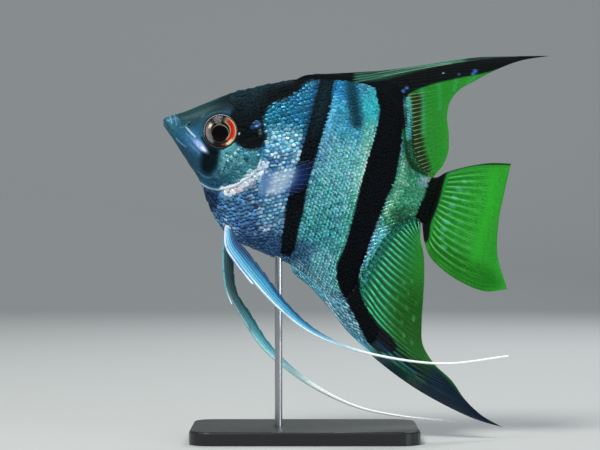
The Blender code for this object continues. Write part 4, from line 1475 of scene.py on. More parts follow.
def streaks(colour: str, points: Points, spread: float, count: int, half: float,
            strength: float = 0.8) -> tuple[FinLayer, ...]:
    """Thin lines side by side under a curve, drawing together toward its end."""
    path = np.array(points, dtype=float)
    narrowing = np.linspace(1.0, 0.25, len(path))[:, None]
    found = []
    for i in range(count):
        lower = path - narrowing * np.array([[0.0, spread * i]])
        found.append(FinLayer(Stroke(tuple(map(tuple, lower)), half, half), colour, 0.97, strength))
    return tuple(found)


BAR_BLACK = "#04080b"
DORSAL_BAND = Patch(((30, 20), (34, 26), (50, 31), (59, 34.5), (76, 42.5), (91, 48), (104, 51.5),
    (102.5, 49.4), (93.7, 45.1), (87.3, 40.8), (79.4, 36.6), (70.6, 31.4), (66.4, 27.6), (68.4, 18),
    (62, 14), (56, 24), (46, 23)), 0.4)
DORSAL_PATTERN = FinPattern(
    ("#127030", 0.92),
    ("#10900e", 0.68),
    (
        FinLayer(Patch(((65.6, 27.6), (70.4, 29), (72.2, 22), (75.5, 14), (79, 7), (77, 5), (72.1, 8.5),
            (69.1, 15), (67, 22)), 0.9), "#0b3018", 0.93),
        FinLayer(Stroke(((65.4, 29.2), (67.4, 25.2), (69.1, 20.2), (70.3, 15.8)), 0.75, 0.6), "#45aaa4",
            0.95),
        FinLayer(Stroke(((69.8, 30.6), (71.6, 26), (73, 21.6), (74, 18)), 0.5, 0.9), "#2f9a74", 0.9,
            0.75),
        FinLayer(Stroke(((74.2, 33.4), (75.6, 29.6), (76.6, 26.4)), 0.5, 0.9), "#3aa878", 0.85, 0.45),
        FinLayer(Stroke(((78.7, 36.8), (79, 34.4), (79, 32.8)), 0.45, 0.8), "#46ae88", 0.85, 0.5),
        FinLayer(Stroke(((83.9, 38.9), (83.2, 37.4), (82.4, 36)), 0.45, 0.8), "#46ae88", 0.85, 0.5),
        FinLayer(DORSAL_BAND, BAR_BLACK, 1),
        FinLayer(Patch(((49.7, 28.7), (59.1, 32.6), (68.2, 37.4), (77.3, 41.9), (77.5, 41.2),
            (73.1, 38.7), (68.7, 35.9), (64.3, 33.2), (59.9, 30.6), (56.4, 28.9), (50.3, 27.8))),
            "#1e4636", 1, 0.85),
        *streaks("#4a8870", ((50, 29.1), (56.4, 31.9), (62.1, 34.6), (70.1, 38.3), (79.5, 42.4)), 0.86,
            4, 0.14, 0.85),
        *streaks("#8cb8a2", ((57, 31.7), (64, 35), (70, 37.7), (76, 40.3)), 1.3, 2, 0.08, 0.75),
        *streaks("#5f9a86", ((78, 41.4), (86, 44.9), (94, 47.6)), 0.5, 2, 0.07, 0.6),
        *dots("#3f78cc", ((65.6, 29.4), (64.8, 28.2), (79, 37.6), (83.3, 39.8), (82.9, 38.9)), 0.5),
        *dots("#9fb4b0", ((74.6, 36.6),), 0.25),
    ),
    "#a8a468",
    (0.85, 0.2),
    (DORSAL_BAND,),
)
ANAL_PATTERN = FinPattern(
    ("#14685c", 0.94),
    ("#117a10", 0.74),
    (
        FinLayer(SHEATH_FRONT, "#4f8fa6", 1),
        FinLayer(Stroke(ANAL_LEAD[1:7], 0.1), "#0d2a3a", 1, 0.8),
        *streaks("#c4e6ee", ((60.5, -38), (66.5, -42.2), (72.5, -45.6), (79.4, -48.6)), -1, 3, 0.17,
            0.9),
        *streaks("#23607c", ((60.5, -37.5), (66.5, -41.7), (72.5, -45.1), (79.4, -48.2)), -1, 3, 0.14,
            0.9),
        FinLayer(Patch(((79, -49.5), (89, -53.5), (98, -56), (110, -58.3), (122, -58.5), (113, -54.6),
            (107.7, -52.6), (101.8, -48.8), (95.7, -46), (89.1, -44.9), (84, -42.6), (79, -42)), 1.1),
            "#06192c", 1),
        FinLayer(Blot((87, -37), (6, 13), -20, 0.6), "#0c4e06", 0.86, 0.92),
        FinLayer(BAR_FOOT, "#050a10", 1),
        FinLayer(Stroke(((76, -42), (84, -46), (92, -49)), 1.4, 1.4), "#050e18", 1, 0.8),
        *streaks("#245a80", ((68, -37.6), (74, -42.8), (82, -46.6), (92, -50.2)), -0.7, 4, 0.1, 0.6),
        *dots("#6cbc62", ((76.2, -14.6), (77.9, -18.6), (79.4, -22.2), (80.8, -25.4), (83, -24.3),
            (83.1, -28.1), (83.8, -32.2), (83.6, -36.5), (85.3, -40.2), (88, -41.4), (86, -30),
            (86.6, -34.6), (80.4, -30), (80.6, -34)), 0.4, 0.7, 0.4, 1.8, 62),
        *dots("#56b487", ((74, -17.6), (75.4, -21.6), (76.6, -25.6), (77.4, -29.6), (78, -33.6)), 0.4,
            0.8, 0.35, 1.8, 58),
    ),
    "#5cdc9e",
    (0.85, 0.2),
    (SHEATH_FRONT, BAR_FOOT),
    0.85,
)
TAIL_PATTERN = FinPattern(
    ("#158430", 0.9),
    ("#0e9e06", 0.68),
    (
        FinLayer(Patch(((86, -10), (96, -12), (108, -18), (104, -22), (92, -20.5), (84, -14.5)), 2.4),
            "#0c6a08", 0.86, 0.8),
        FinLayer(Stroke(((97, 12.5), (98.4, 4), (98.6, -5), (98.6, -13)), 1.3, 1.6), "#2ebc22", 0.8,
            0.4),
        FinLayer(Stroke(((101.5, 13), (102.6, 4), (103, -5), (104, -13)), 0.8, 1.4), "#0d8a0a", 0.8,
            0.5),
        FinLayer(Stroke(((81.5, 7), (83.6, 9), (86.5, 11), (91, 13.5), (101, 16.8)), 0.3, 0.3),
            "#0c2a1c", 0.97),
        FinLayer(Patch(((79, 5), (81.2, 8.2), (83.4, 9.6), (83.7, 6), (83.9, -1.8), (83.5, -6.1),
            (83.4, -12.4), (82.2, -12.4), (80, -8)), 0.35), "#020806", 1),
        *dots("#5ec6be", ((88.1, 2.7), (88, 0.2), (88.1, -2.2), (87.8, -4.8), (87.6, -7.1),
            (87.8, -9.6), (88.6, 5.4), (89.4, 8), (89, -12)), 0.55, 0.9, 0.75, 1.8, 8),
        *dots("#4fbc94", ((91, 5.3), (91.3, 2.4), (91.8, -1.4), (91.7, -3.8), (91.5, -6.4),
            (91.8, -9.1), (92.6, -12), (91.6, 8.6)), 0.48, 0.8, 0.5, 2, 8),
        *dots("#58b870", ((95, 4), (95.4, 0.5), (95.6, -3), (95.8, -6.6), (96, -10), (95, 7.6)), 0.6,
            0.7, 0.35, 2, 8),
    ),
    "#7cd47c",
    (0.62, 0.5),
    (Patch(((78, 9), (83.6, 9.6), (83.9, -1.8), (83.4, -12.8), (78, -12)), 0.3),),
    0.5,
)


NEAREST_BLOCK = 2000  # spots measured at a time, to spare memory


@dataclass
class RayedFin:
    """A median fin: a thin web between rays that fork toward the rim."""

    place: FishFrame
    name: str
    node: str
    root: Points
    lead: Points
    margin: Points
    pattern: FinPattern
    spines: tuple[float, ...]  # unbranched rays, as shares of the root
    rays: tuple[float, ...]  # forked rays
    trail: Points | None = None
    columns: int = 240
    rows: int = 84
    web_half: float = 0.07
    root_half: float = 0.42
    ray_radius: float = 0.19
    ray_reach: Points = ((0.97, 1.0), (0.985, 0.72))  # of spines and of branches, with their girth
    ray_stops: int = 26
    ray_sides: int = 6
    edge_stops: int = 201
    bend_stops: int = 101
    fork_at: float = 0.46
    fork_spread: float = 0.27  # of the distance to the next ray
    wave: float = 0.3
    fan: Points = ((0.0, 0.0), (1.0, 1.0))  # share of the root, share of the margin

    def bend(self, curve: Points, start: Array, end: Array) -> Array:
        """How far a curve strays from the straight line between two points."""
        path = through(curve, self.bend_stops)
        share = np.linspace(0.0, 1.0, self.bend_stops)[:, None]
        stray = path - (start + (end - start) * share)
        stray[0] = 0.0
        stray[-1] = 0.0
        return stray

    def spot(self, s: Array, t: Array) -> Array:
        """The (along, up) place at share s of the root and share t of the way to the rim."""
        roots = through(self.root, self.edge_stops)
        rims = through(self.margin, self.edge_stops)
        start = read(roots, s)
        end = read(rims, np.interp(s, *np.array(self.fan).T))
        found = start + (end - start) * np.asarray(t)[..., None]
        front = self.bend(self.lead, roots[0], rims[0])
        found = found + read(front, t) * ((1 - s) ** 2)[..., None]
        if self.trail:
            rear = self.bend(self.trail, roots[-1], rims[-1])
            found = found + read(rear, t) * (s ** 2)[..., None]
        return found

    def outline(self) -> Patch:
        """The web's outline seen from the side."""
        share = np.linspace(0.0, 1.0, 60)
        zero = np.zeros_like(share)
        sides = ((zero, share), (share, zero + 1), (zero + 1, 1 - share), (1 - share, zero))
        return Patch(tuple(map(tuple, np.concatenate([self.spot(s, t) for s, t in sides]))), 0.1, False)

    def sway(self, s: Array, t: Array) -> Array:
        """The web's gentle wave to the sides, in millimetres."""
        return self.wave * smooth(0.15, 1.0, t) * np.sin(6.5 * s + 3.0 * t) * smooth(0.0, 0.2, s)

    def build(self) -> None:
        """Make the web and its rays."""
        self.build_web()
        self.build_rays()

    def half_at(self, t: Array) -> Array:
        """Half thickness of the web, fleshy at the root."""
        return self.web_half + (self.root_half - self.web_half) * (1 - smooth(0.0, 0.3, t))

    def build_web(self) -> None:
        """The web: a closed thin slab, denser in colour where the fin is marked."""
        slab = Master.slab(self.columns, self.rows)
        s, t, layer = slab.points.T
        spots = self.spot(s, t)
        across = self.sway(s, t) + layer * self.half_at(t)
        points = np.stack((spots[:, 0], across, spots[:, 1]), axis=1)
        mesh = slab.repeat(self.name + "_web", self.place.world(points)[None])
        colour, density = self.pattern.read(spots, t)
        paint(mesh, self.striped(colour, spots, s, t), density)
        mend(mesh, WELD)
        show(mesh, Finish.MEMBRANE, (self.node,))

    def striped(self, colour: Array, spots: Array, s: Array, t: Array) -> Array:
        """Lighten the web along each ray and darken it between them, near the root."""
        routes = np.array(self.spines + self.rays)
        off = np.abs(s[:, None] - routes).min(axis=1) / np.mean(np.diff(self.rays))
        near = bell(off, 0.0, 0.26)
        part = self.pattern.stripe * (1 - smooth(0.25, 0.8, t))
        for shape in self.pattern.dark:
            part = part * (1 - shape.weight(spots))
        shaded = colour * (1 - 0.5 * part * (1 - near))[:, None]
        return mix(shaded, srgb(self.pattern.ray_tint), 0.6 * part * near)

    def nearest(self, spots: Array) -> tuple[Array, Array]:
        """Shares of the root and of the way to the rim at each spot, from the nearest place."""
        s, t = np.meshgrid(np.linspace(0, 1, 90), np.linspace(0, 1, 40))
        drawn = self.spot(s.ravel(), t.ravel())
        found = [((part[:, None] - drawn) ** 2).sum(axis=2).argmin(axis=1)
                 for part in np.array_split(spots, 1 + len(spots) // NEAREST_BLOCK)]
        found = np.concatenate(found)
        return s.ravel()[found], t.ravel()[found]

    def build_rays(self) -> None:
        """Spines and forked rays, round and tapering, that stand proud of both faces."""
        rod = Master.rod(self.ray_stops - 1, self.ray_sides)
        fork = self.fork_spread * np.mean(np.diff(self.rays))
        spine, branch = self.ray_reach
        routes = [(s, 0.0, 0.0, *spine) for s in self.spines]
        for s in self.rays:
            routes.append((s, 0.0, 0.0, self.fork_at + 0.04, 1.0))
            routes += [(s, spread, self.fork_at, *branch) for spread in (fork, -fork)]
        s, spread, low, high, girth = (column[:, None] for column in np.array(routes).T)
        t = low + (high - low) * np.linspace(0.0, 1.0, self.ray_stops)
        shift = np.clip(s + spread * smooth(self.fork_at, 1.0, t), 0.004, 0.996)
        spots = self.spot(shift, t)
        paths = np.stack((spots[..., 0], self.sway(shift, t), spots[..., 1]), axis=-1)
        taper = self.ray_radius * girth * (1.0 - 0.62 * t)
        points = rods_along(rod, paths, taper * (1.0 + 0.9 * (1 - smooth(0.0, 0.12, t))))
        mesh = rod.repeat(self.name + "_rays", self.place.world(points))
        reach = (low + (high - low) * rod.points[:, 2]).ravel()
        spots = points[..., [0, 2]].reshape(-1, 2)
        colour, _ = self.pattern.read(spots, reach)
        soft = np.repeat(np.arange(len(routes)) >= len(self.spines), len(rod.points))
        share = self.pattern.ray_at(spots, reach) * (0.25 + 0.75 * soft)
        paint(mesh, mix(colour, srgb(self.pattern.ray_tint), share))
        show(mesh, Finish.RAY)


def body_edge(form: BodyForm, start: float, upper: bool) -> Points:
    """A median fin's root line, sunk a little into the back or the belly."""
    places = np.linspace(start, TAIL_ROOT - 1.0, 30)
    back, belly, _, _ = form.section(places)
    edge = back - FIN_SUNK if upper else belly + FIN_SUNK
    return tuple(zip(places, edge))


@dataclass
class PectoralFin:
    """A clear paddle behind the gill cover, tinted lavender, with a dark striped root."""

    place: FishFrame
    form: BodyForm
    side: Side
    rays: int = 13
    ray_stops: int = 18
    edge_stops: int = 51
    web_half: float = 0.06
    blade: tuple[str, str] = ("#d6ecff", "#18408c")  # near the root and near the rim
    foot: tuple[str, str] = ("#5886c6", "#9cc6ea")  # between the rays and on them
    ray: tuple[str, str] = ("#a9b9e6", "#86aee0")  # beyond the root and at it

    def point(self, s: Array, t: Array) -> Array:
        """Place at share s across the root and share t of the way to the rim."""
        start = read(through(PECTORAL_ROOT, self.edge_stops), s)
        end = read(through(PECTORAL_MARGIN, self.edge_stops), s)
        spots = start + (end - start) * t[..., None]
        run = spots[..., 0] - start[..., 0]
        out = self.form.out_at(start[..., 0], start[..., 1]) + 0.25
        out = out + run * math.tan(PECTORAL_SPLAY) + 0.3 * smooth(0.0, 0.25, t)
        return np.stack((spots[..., 0], self.side.value * out, spots[..., 1]), axis=-1)

    def build(self) -> None:
        """Make the web and the rays."""
        slab = Master.slab(78, 40)
        s, t, layer = slab.points.T
        points = self.point(s, t)
        points[:, 1] += layer * (self.web_half + 0.25 * (1 - smooth(0.0, 0.2, t)))
        name = "pectoral_" + self.side.word
        mesh = slab.repeat(name + "_web", self.place.world(points)[None])
        stripe = 0.5 + 0.5 * np.cos(s * 2 * math.pi * (self.rays - 1))
        root = 1 - smooth(0.04, 0.3, t)
        colour = mix(*map(srgb, self.blade), smooth(0.45, 0.75, t))
        colour = mix(colour, srgb(self.foot[0]), root)
        colour = mix(colour, srgb(self.foot[1]), 0.6 * stripe * root)
        soft_rim = (1 - smooth(0.62, 1.0, t)) * smooth(0.0, 0.34, s) * (1 - smooth(0.72, 1.0, s))
        paint(mesh, colour, (0.24 + 0.08 * root) * soft_rim * smooth(0.0, 0.12, t))
        show(mesh, Finish.MEMBRANE, ("pectoral_fin_" + self.side.word,))
        rod = Master.rod(self.ray_stops - 1, 6)
        t = np.linspace(0.0, 0.96, self.ray_stops)
        shares = np.linspace(0.02, 0.98, self.rays)
        paths = np.array([self.point(np.full_like(t, share), t) for share in shares])
        radii = np.tile(0.15 * (1 - 0.7 * t) + 0.04 * (1 - smooth(0.0, 0.15, t)), (self.rays, 1))
        mesh = rod.repeat(name + "_rays", self.place.world(rods_along(rod, paths, radii)))
        near = np.tile(1 - smooth(0.03, 0.35, rod.points[:, 2]), self.rays)
        paint(mesh, mix(*map(srgb, self.ray), near), 0.08 + 0.34 * near)
        show(mesh, Finish.MEMBRANE)


@dataclass(frozen=True)
class PelvicColours:
    """A pelvic fin's colours, from its spine to its trailing edge, and its thread."""

    spine: str
    spine_tip: str
    front: str
    middle: str
    rear: str
    thread: str
    root_light: float = 1.0  # how light the root is beside the blade
    hem: float = 0.85  # how white the leading edge is below the spine


# Place across the blade, where the ray ends (0: at the spine's end), and its radius at the root
# and at the tip.  The first is the spine.
PELVIC_RAYS = (
    (-0.84, 0, 0.36, 0.24), (-0.52, 0.92, 0.27, 0.14), (-0.24, 0.9, 0.2, 0.12),
    (0.04, 0.72, 0.17, 0.1), (0.3, 0.58, 0.15, 0.08), (0.54, 0.47, 0.13, 0.06),
    (0.78, 0.36, 0.12, 0.05),
)


@dataclass
class PelvicFin:
    """A ventral fin: a spine, soft rays that end one by one, and a long thread."""

    place: FishFrame
    side: Side
    path: Points
    colours: PelvicColours
    spine_end: float
    stops: int = 150
    path_stops: int = 301
    ray_stops: int = 60
    web_half: float = 0.12
    thread_from: float = 0.5
    hem_white: str = "#eefaff"
    ray_white: str = "#f4fcff"

    def frame_at(self, t: Array) -> tuple[Array, Array, Array]:
        """Middle line, the direction toward the trailing edge, and the half width."""
        fine = through(self.path, self.path_stops)
        run = unit(np.gradient(fine[:, [0, 1]], axis=0))
        across = np.stack((-run[:, 1], np.zeros(len(run)), run[:, 0]), axis=1)
        middle = np.stack((fine[:, 0], self.side.value * fine[:, 2], fine[:, 1]), axis=1)
        return read(middle, t), read(across, t), read(fine[:, 3:4], t)[..., 0]

    def edges(self, t: Array) -> tuple[Array, Array]:
        """The blade's leading and trailing edge, as shares of the half width."""
        step = smooth(self.spine_end - 0.004, self.spine_end + 0.006, t)
        lead = -1.0 + 0.3 * step * (1 - smooth(self.spine_end, 0.62, t))
        teeth = (t * 26.0) % 1.0
        fringe = smooth(0.1, 0.16, t) * (1 - smooth(0.4, 0.55, t))
        return lead, 1.0 - 0.13 * teeth * fringe

    def tint(self, w: Array, t: Array) -> Array:
        """Colour across the blade, w from -1 at the spine to 1 at the trailing edge."""
        stops = np.array([-1.0, -0.25, 0.3, 1.0])
        names = (self.colours.front, self.colours.front, self.colours.middle, self.colours.rear)
        table = np.array([srgb(name) for name in names])
        colour = np.stack([np.interp(w, stops, table[:, i]) for i in range(3)], axis=-1)
        # Painted shadow: the blade's rear part by the root is darkened toward the trailing edge's
        # colour.
        rear = 0.8 * smooth(-0.3, 0.5, w) * (1 - smooth(0.06, 0.24, t))
        colour = mix(colour, srgb(self.colours.rear), rear)
        dim = (1 - self.colours.root_light) * (1 - smooth(0.16, 0.42, t))
        thread = smooth(self.thread_from - 0.16, self.thread_from + 0.12, t)
        return mix(colour * (1 - dim)[..., None], srgb(self.colours.thread), thread)

    def build(self) -> None:
        """Make the web, the spine and the rays."""
        slab = Master.slab(self.stops * 2, 12)
        t, share, layer = slab.points.T
        lead, trail = self.edges(t)
        w = lead + (trail - lead) * share
        middle, across, half = self.frame_at(t)
        points = middle + across * (w * half)[:, None]
        thin = self.web_half * (1 - 0.55 * np.abs(w))
        round_half = half * np.sqrt(np.clip(1.02 - w ** 2, 0.0, 1.0))
        points[:, 1] += layer * (thin + (round_half - thin) * smooth(0.42, 0.66, t))
        name = "pelvic_" + self.side.word
        mesh = slab.repeat(name + "_web", self.place.world(points)[None])
        # Painted shade in the furrows between the fused rays, on the half nearer the root.
        ridge = 0.5 + 0.5 * np.cos(w * 15.0)
        furrow_shade = 0.3 * (1 - ridge) * (1 - smooth(0.4, 0.6, t))
        hem = (1 - smooth(0.0, 0.16, share)) * smooth(self.spine_end - 0.06, self.spine_end + 0.02, t)
        clear = 0.45 * smooth(0.72, 1.0, w) * (1 - smooth(0.3, 0.5, t))
        colour = self.tint(w, t) * (1.04 - furrow_shade)[:, None]
        paint(mesh, mix(colour, srgb(self.hem_white), self.colours.hem * hem), 0.97 - clear)
        show(mesh, Finish.MEMBRANE, ("pelvic_fin_" + self.side.word,))
        self.build_rays(name)

    def build_rays(self, name: str) -> None:
        """The spine, and the soft rays that run on into the thread."""
        rod = Master.rod(self.ray_stops - 1, 7)
        share = np.linspace(0.0, 1.0, self.ray_stops)
        paths = []
        radii = []
        colours = []
        for i, (w, end, thick, thin) in enumerate(PELVIC_RAYS):
            t = (end or self.spine_end) * share
            middle, across, half = self.frame_at(t)
            paths.append(middle + across * (w * half)[:, None])
            taper = thick + (thin - thick) * share
            radii.append(np.minimum(taper, 0.5 * half + 0.02))
            if i == 0:
                spine, tip = srgb(self.colours.spine), srgb(self.colours.spine_tip)
                own = mix(spine, tip, smooth(0.75, 1.0, share))
            else:
                edge = smooth(self.spine_end - 0.08, self.spine_end + 0.02, t) * (i == 1)
                pale = 0.2 * self.colours.root_light + 0.75 * self.colours.hem * edge
                own = mix(self.tint(np.full_like(t, w), t), srgb(self.ray_white), pale)
            colours.append(read(own, rod.points[:, 2]))
        points = rods_along(rod, np.array(paths), np.array(radii))
        mesh = rod.repeat(name + "_rays", self.place.world(points))
        paint(mesh, np.concatenate(colours))
        show(mesh, Finish.RAY)


@dataclass
class SheathScales(Plates):
    """Scales that run on from the body over the root of a median fin."""

    fin: RayedFin
    name: str
    room: Patch
    pitch: float = 1.2
    lie: float = -30.0  # degrees, 0 along the body and 90 up
    drawn: float = 1.0  # how far the scales draw out into streaks
    thin: float = 0.4  # how small the outermost scales are

    def lattice(self, chance: np.random.Generator) -> tuple[Array, Array]:
        """Roots of the scales over the room, and each one's size."""
        loop = self.room.loop()
        middle = loop.mean(axis=0)
        reach = np.linalg.norm(loop - middle, axis=1).max() + self.pitch
        angle = math.radians(self.lie)
        ahead = np.array([math.cos(angle), math.sin(angle)])
        aside = np.array([-ahead[1], ahead[0]])
        count = int(reach / self.pitch) + 1
        steps = np.arange(-int(count / COLUMN_STEP) - 1, int(count / COLUMN_STEP) + 2)
        i, j = np.meshgrid(steps, np.arange(-count, count + 1))
        run = (i * COLUMN_STEP * self.pitch)[..., None] * ahead
        rise = ((j + 0.5 * (i % 2)) * self.pitch)[..., None] * aside
        spots = (middle + run + rise).reshape(-1, 2)
        spots = spots + chance.normal(0.0, 0.04 * self.pitch, spots.shape)
        depth = self.fin.outline().depth(spots) - 0.3 * self.pitch
        depth = np.minimum(self.room.depth(spots), depth)
        kept = (depth > 0) & (self.form.out_at(*spots.T) * self.on_body(spots) < 0.75)
        size = self.pitch * (self.thin + (1 - self.thin) * smooth(0.0, 2.2, depth[kept]))
        return spots[kept], size

    def on_body(self, spots: Array) -> Array:
        """1 where a spot lies over the body, 0 beyond its edge."""
        back, belly, _, _ = self.form.section(spots[:, 0])
        inside = (spots[:, 1] < back) & (spots[:, 1] > belly) & (spots[:, 0] < TAIL_ROOT)
        return inside.astype(float)

    def build(self, side: Side) -> None:
        """Lay the plates on one face of the fin, in the body's own markings."""
        chance = np.random.default_rng(SEED + len(self.name))
        spots, size = self.lattice(chance)
        s, t = self.fin.nearest(spots)
        size = (size * (1 + chance.normal(0.0, 0.06, len(size))))[:, None]
        angle = math.radians(self.lie) + chance.normal(0.0, 0.12, len(size))[:, None]
        x, y, z = self.plate.points.T
        run = 0.88 * self.drawn * x * size
        rise = 0.64 * y * size
        along = spots[:, :1] + run * np.cos(angle) - rise * np.sin(angle)
        up = spots[:, 1:] + run * np.sin(angle) + rise * np.cos(angle)
        height = np.where(z > 0, 0.1 * z, 0.25 * z) + 0.14 * x
        out = self.fin.half_at(t) + side.value * self.fin.sway(s, t) + 0.05
        points = np.stack((along, side.value * (out[:, None] + size * height), up), axis=-1)
        name = "scales_" + self.name + "_" + side.word
        mesh = self.plate.repeat(name, self.place.world(points))
        if side is Side.LEFT:
            mesh.flip_normals()
        self.paint_scales(mesh, spots, np.stack((along, up), axis=-1), t, chance)
        self.lay_out(mesh, *spots.T)
        show(mesh, Finish.SCALE)

    def paint_scales(self, mesh: bpy.types.Mesh, spots: Array, corners: Array, t: Array,
                     chance: np.random.Generator) -> None:
        """Fade from the body's markings into the fin's, with painted light and shade on each plate.

        Args:
            mesh: The joined scales.
            spots: (along, up) of each scale's middle.
            corners: (along, up) of each scale's vertices, over which the black ink is drawn.
            t: How far out on the fin each scale lies.
            chance: Source of the small irregularities.
        """
        x, y, z = self.plate.points.T
        angle = math.radians(self.lie)
        shown = spots + 0.35 * self.pitch * np.array([math.cos(angle), math.sin(angle)])
        bright, deep = self.markings.shine(shown)
        web, _ = self.fin.pattern.read(shown, t)
        # Toward the fin the plates take the web's colour, lighter for their lit part and darker for
        # their painted shade.
        outer = 1 - smooth(0.2, 2.6, self.room.depth(spots))
        bright = mix(bright, web * 1.45, outer)
        deep = mix(deep, web * 0.5, outer)
        own = 1 + chance.normal(0.0, 0.18, len(spots))
        bright = np.clip(bright * own[:, None], 0, 1)
        # Painted light and shade: a highlight round each plate's rear rim and a shadow pit near its
        # middle; drawn-out plates get a lit streak down the middle instead.
        pit_shadow = np.exp(-(((x - 0.1) / 0.24) ** 2 + (y / 0.34) ** 2))
        lit = 0.55 + 0.45 * smooth(0.6, 0.9, np.hypot(x, y)) * (x > -0.1) - 0.6 * pit_shadow
        if self.drawn > 1.0:
            lit = 0.2 + 0.85 * bell(y, 0.0, 0.42)
        lit = np.tile(np.clip(lit * (z > -0.5), 0.0, 1.1), len(spots))
        inked = 0.5 * (corners + shown[:, None]).reshape(-1, 2)
        self.paint_plates(mesh, bright, deep, inked, lit)


# ---- the stand's materials
@dataclass(frozen=True)
class StandFinish:
    """A plain finish of the display stand."""

    name: str
    colour: str
    roughness: float
    metallic: float
    ior: float
    grain_mm: tuple[float, float, float]
    grain: float

    def build(self) -> bpy.types.Material:
        """Make the material: one colour, with a fine grain in its roughness."""
        made = start_material(self.name, {
            "Base Color": solid_colour(self.colour), "Metallic": self.metallic, "IOR": self.ior})
        tree = made.node_tree
        place = add_node(tree, "ShaderNodeTexCoord").outputs["Object"]
        stretched = add_node(tree, "ShaderNodeMapping",
                             {"Scale": tuple(per_metre(size) for size in self.grain_mm)},
                             {"Vector": place})
        grain = add_node(tree, "ShaderNodeTexNoise", {"Scale": 1.0, "Detail": 4.0},
                         {"Vector": stretched.outputs["Vector"]})
        rough = add_node(tree, "ShaderNodeMapRange",
                         {"To Min": self.roughness - self.grain, "To Max": self.roughness + self.grain},
                         {"Value": grain.outputs["Fac"]})
        rough_socket = tree.nodes["Principled BSDF"].inputs["Roughness"]
        tree.links.new(rough.outputs["Result"], rough_socket)
        return made


# Cast acrylic sheet, satin black.
BLACK_ACRYLIC = StandFinish("satin_black_acrylic", "#15171a", 0.34, 0.0, 1.49, (3.0, 3.0, 3.0), 0.06)
# Drawn steel rod, brushed along its length.
BRUSHED_STEEL = StandFinish("brushed_steel", "#a7abae", 0.3, 1.0, 2.5, (0.15, 0.15, 6.0), 0.1)


def dress_stand() -> None:
    """Give the stand's own solids their finishes."""
    for node, finish in (("stand_base", BLACK_ACRYLIC), ("stand_rod", BRUSHED_STEEL)):
        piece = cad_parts[node]
        made = finish.build()
        for row in piece.material_slots:
            row.material = made


# ---- the room
@dataclass(frozen=True)
class Lamp:
    """A soft square lamp that looks at the middle of the fish."""

    name: str
    place: tuple[float, float, float]  # metres from the fish's middle
    size: float
    power: float
    colour: str = "#ffffff"

    def build(self, middle: Vector) -> None:
        """Hang the lamp."""
        light = bpy.data.lights.new(self.name, "AREA")
        light.shape = "SQUARE"
        light.size = self.size
        light.energy = self.power
        light.color = tuple(to_linear(srgb(self.colour)))
        lamp = stand_up(self.name, light)
        lamp.location = middle + Vector(self.place)
        lamp.rotation_euler = (-Vector(self.place)).to_track_quat("-Z", "Y").to_euler()


@dataclass
class Studio:
    """A pale seamless floor, soft lamps and the camera."""

    width: float = 2.4
    front: float = 3.0  # from the fish to the floor's edge before it
    bend_steps: int = 24
    depth: float = 0.9  # from the fish to where the floor turns up
    height: float = 1.6
    bend: float = 0.35
    floor_colour: str = "#b4b9ba"
    fill: float = 0.36
    camera_place: tuple[float, float, float] = (-16.35, -600.0, 62.5)
    seen_width: float = 175.2
    sensor: float = 36.0
    lamps: tuple[Lamp, ...] = (
        Lamp("key_lamp", (-0.3, -0.42, 0.66), 0.3, 7.0, "#fffaf2"),
        Lamp("side_lamp", (0.62, -0.5, 0.1), 0.25, 1.8, "#eef6ff"),
        Lamp("rim_lamp", (0.2, 0.55, 0.5), 0.3, 2.4, "#ffffff"),
    )

    def build(self) -> None:
        """Set up the room."""
        self.build_floor()
        low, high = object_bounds()
        middle = (low + high) / 2
        for lamp in self.lamps:
            lamp.build(middle)
        self.build_world()
        self.build_camera()
        bpy.context.scene.view_settings.view_transform = "Standard"

    def build_floor(self) -> None:
        """Sweep the floor's edge up behind the fish as a seamless backdrop."""
        bm = bmesh.new()
        path = [(-self.front, 0.0), (self.depth, 0.0)]
        for angle in np.linspace(0.0, math.pi / 2, self.bend_steps + 1)[1:]:
            path.append((self.depth + self.bend * math.sin(angle), self.bend * (1 - math.cos(angle))))
        path.append((self.depth + self.bend, self.height))
        row = [bm.verts.new((-self.width / 2, y, z)) for y, z in path]
        edges = [bm.edges.new(pair) for pair in zip(row, row[1:])]
        moved = grown(bmesh.ops.extrude_edge_only(bm, edges=edges), bmesh.types.BMVert)
        bmesh.ops.translate(bm, vec=(self.width, 0.0, 0.0), verts=moved)
        bmesh.ops.recalc_face_normals(bm, faces=bm.faces)
        mesh = bpy.data.meshes.new("studio_floor")
        bm.to_mesh(mesh)
        bm.free()
        mesh.shade_smooth()
        mesh.materials.append(start_material("matt_painted_board", {
            "Base Color": solid_colour(self.floor_colour), "Roughness": 0.85}))
        stand_up("studio_floor", mesh)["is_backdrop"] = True

    def build_world(self) -> None:
        """Even fill light."""
        world = bpy.data.worlds.new("studio_fill")
        world.use_nodes = True
        sky = world.node_tree.nodes["Background"]
        sky.inputs["Color"].default_value = (0.9, 0.95, 1.0, 1.0)
        sky.inputs["Strength"].default_value = self.fill
        bpy.context.scene.world = world

    def build_camera(self) -> None:
        """A level camera, square to the fish's left side."""
        lens = bpy.data.cameras.new("camera")
        lens.sensor_width = self.sensor
        lens.lens = self.sensor * -self.camera_place[1] / self.seen_width
        lens.clip_start = 0.01
        lens.clip_end = 20.0
        camera = stand_up("camera", lens)
        camera.location = Vector(self.camera_place) * MM
        camera.rotation_euler = (math.pi / 2, 0.0, 0.0)
        bpy.context.scene.camera = camera


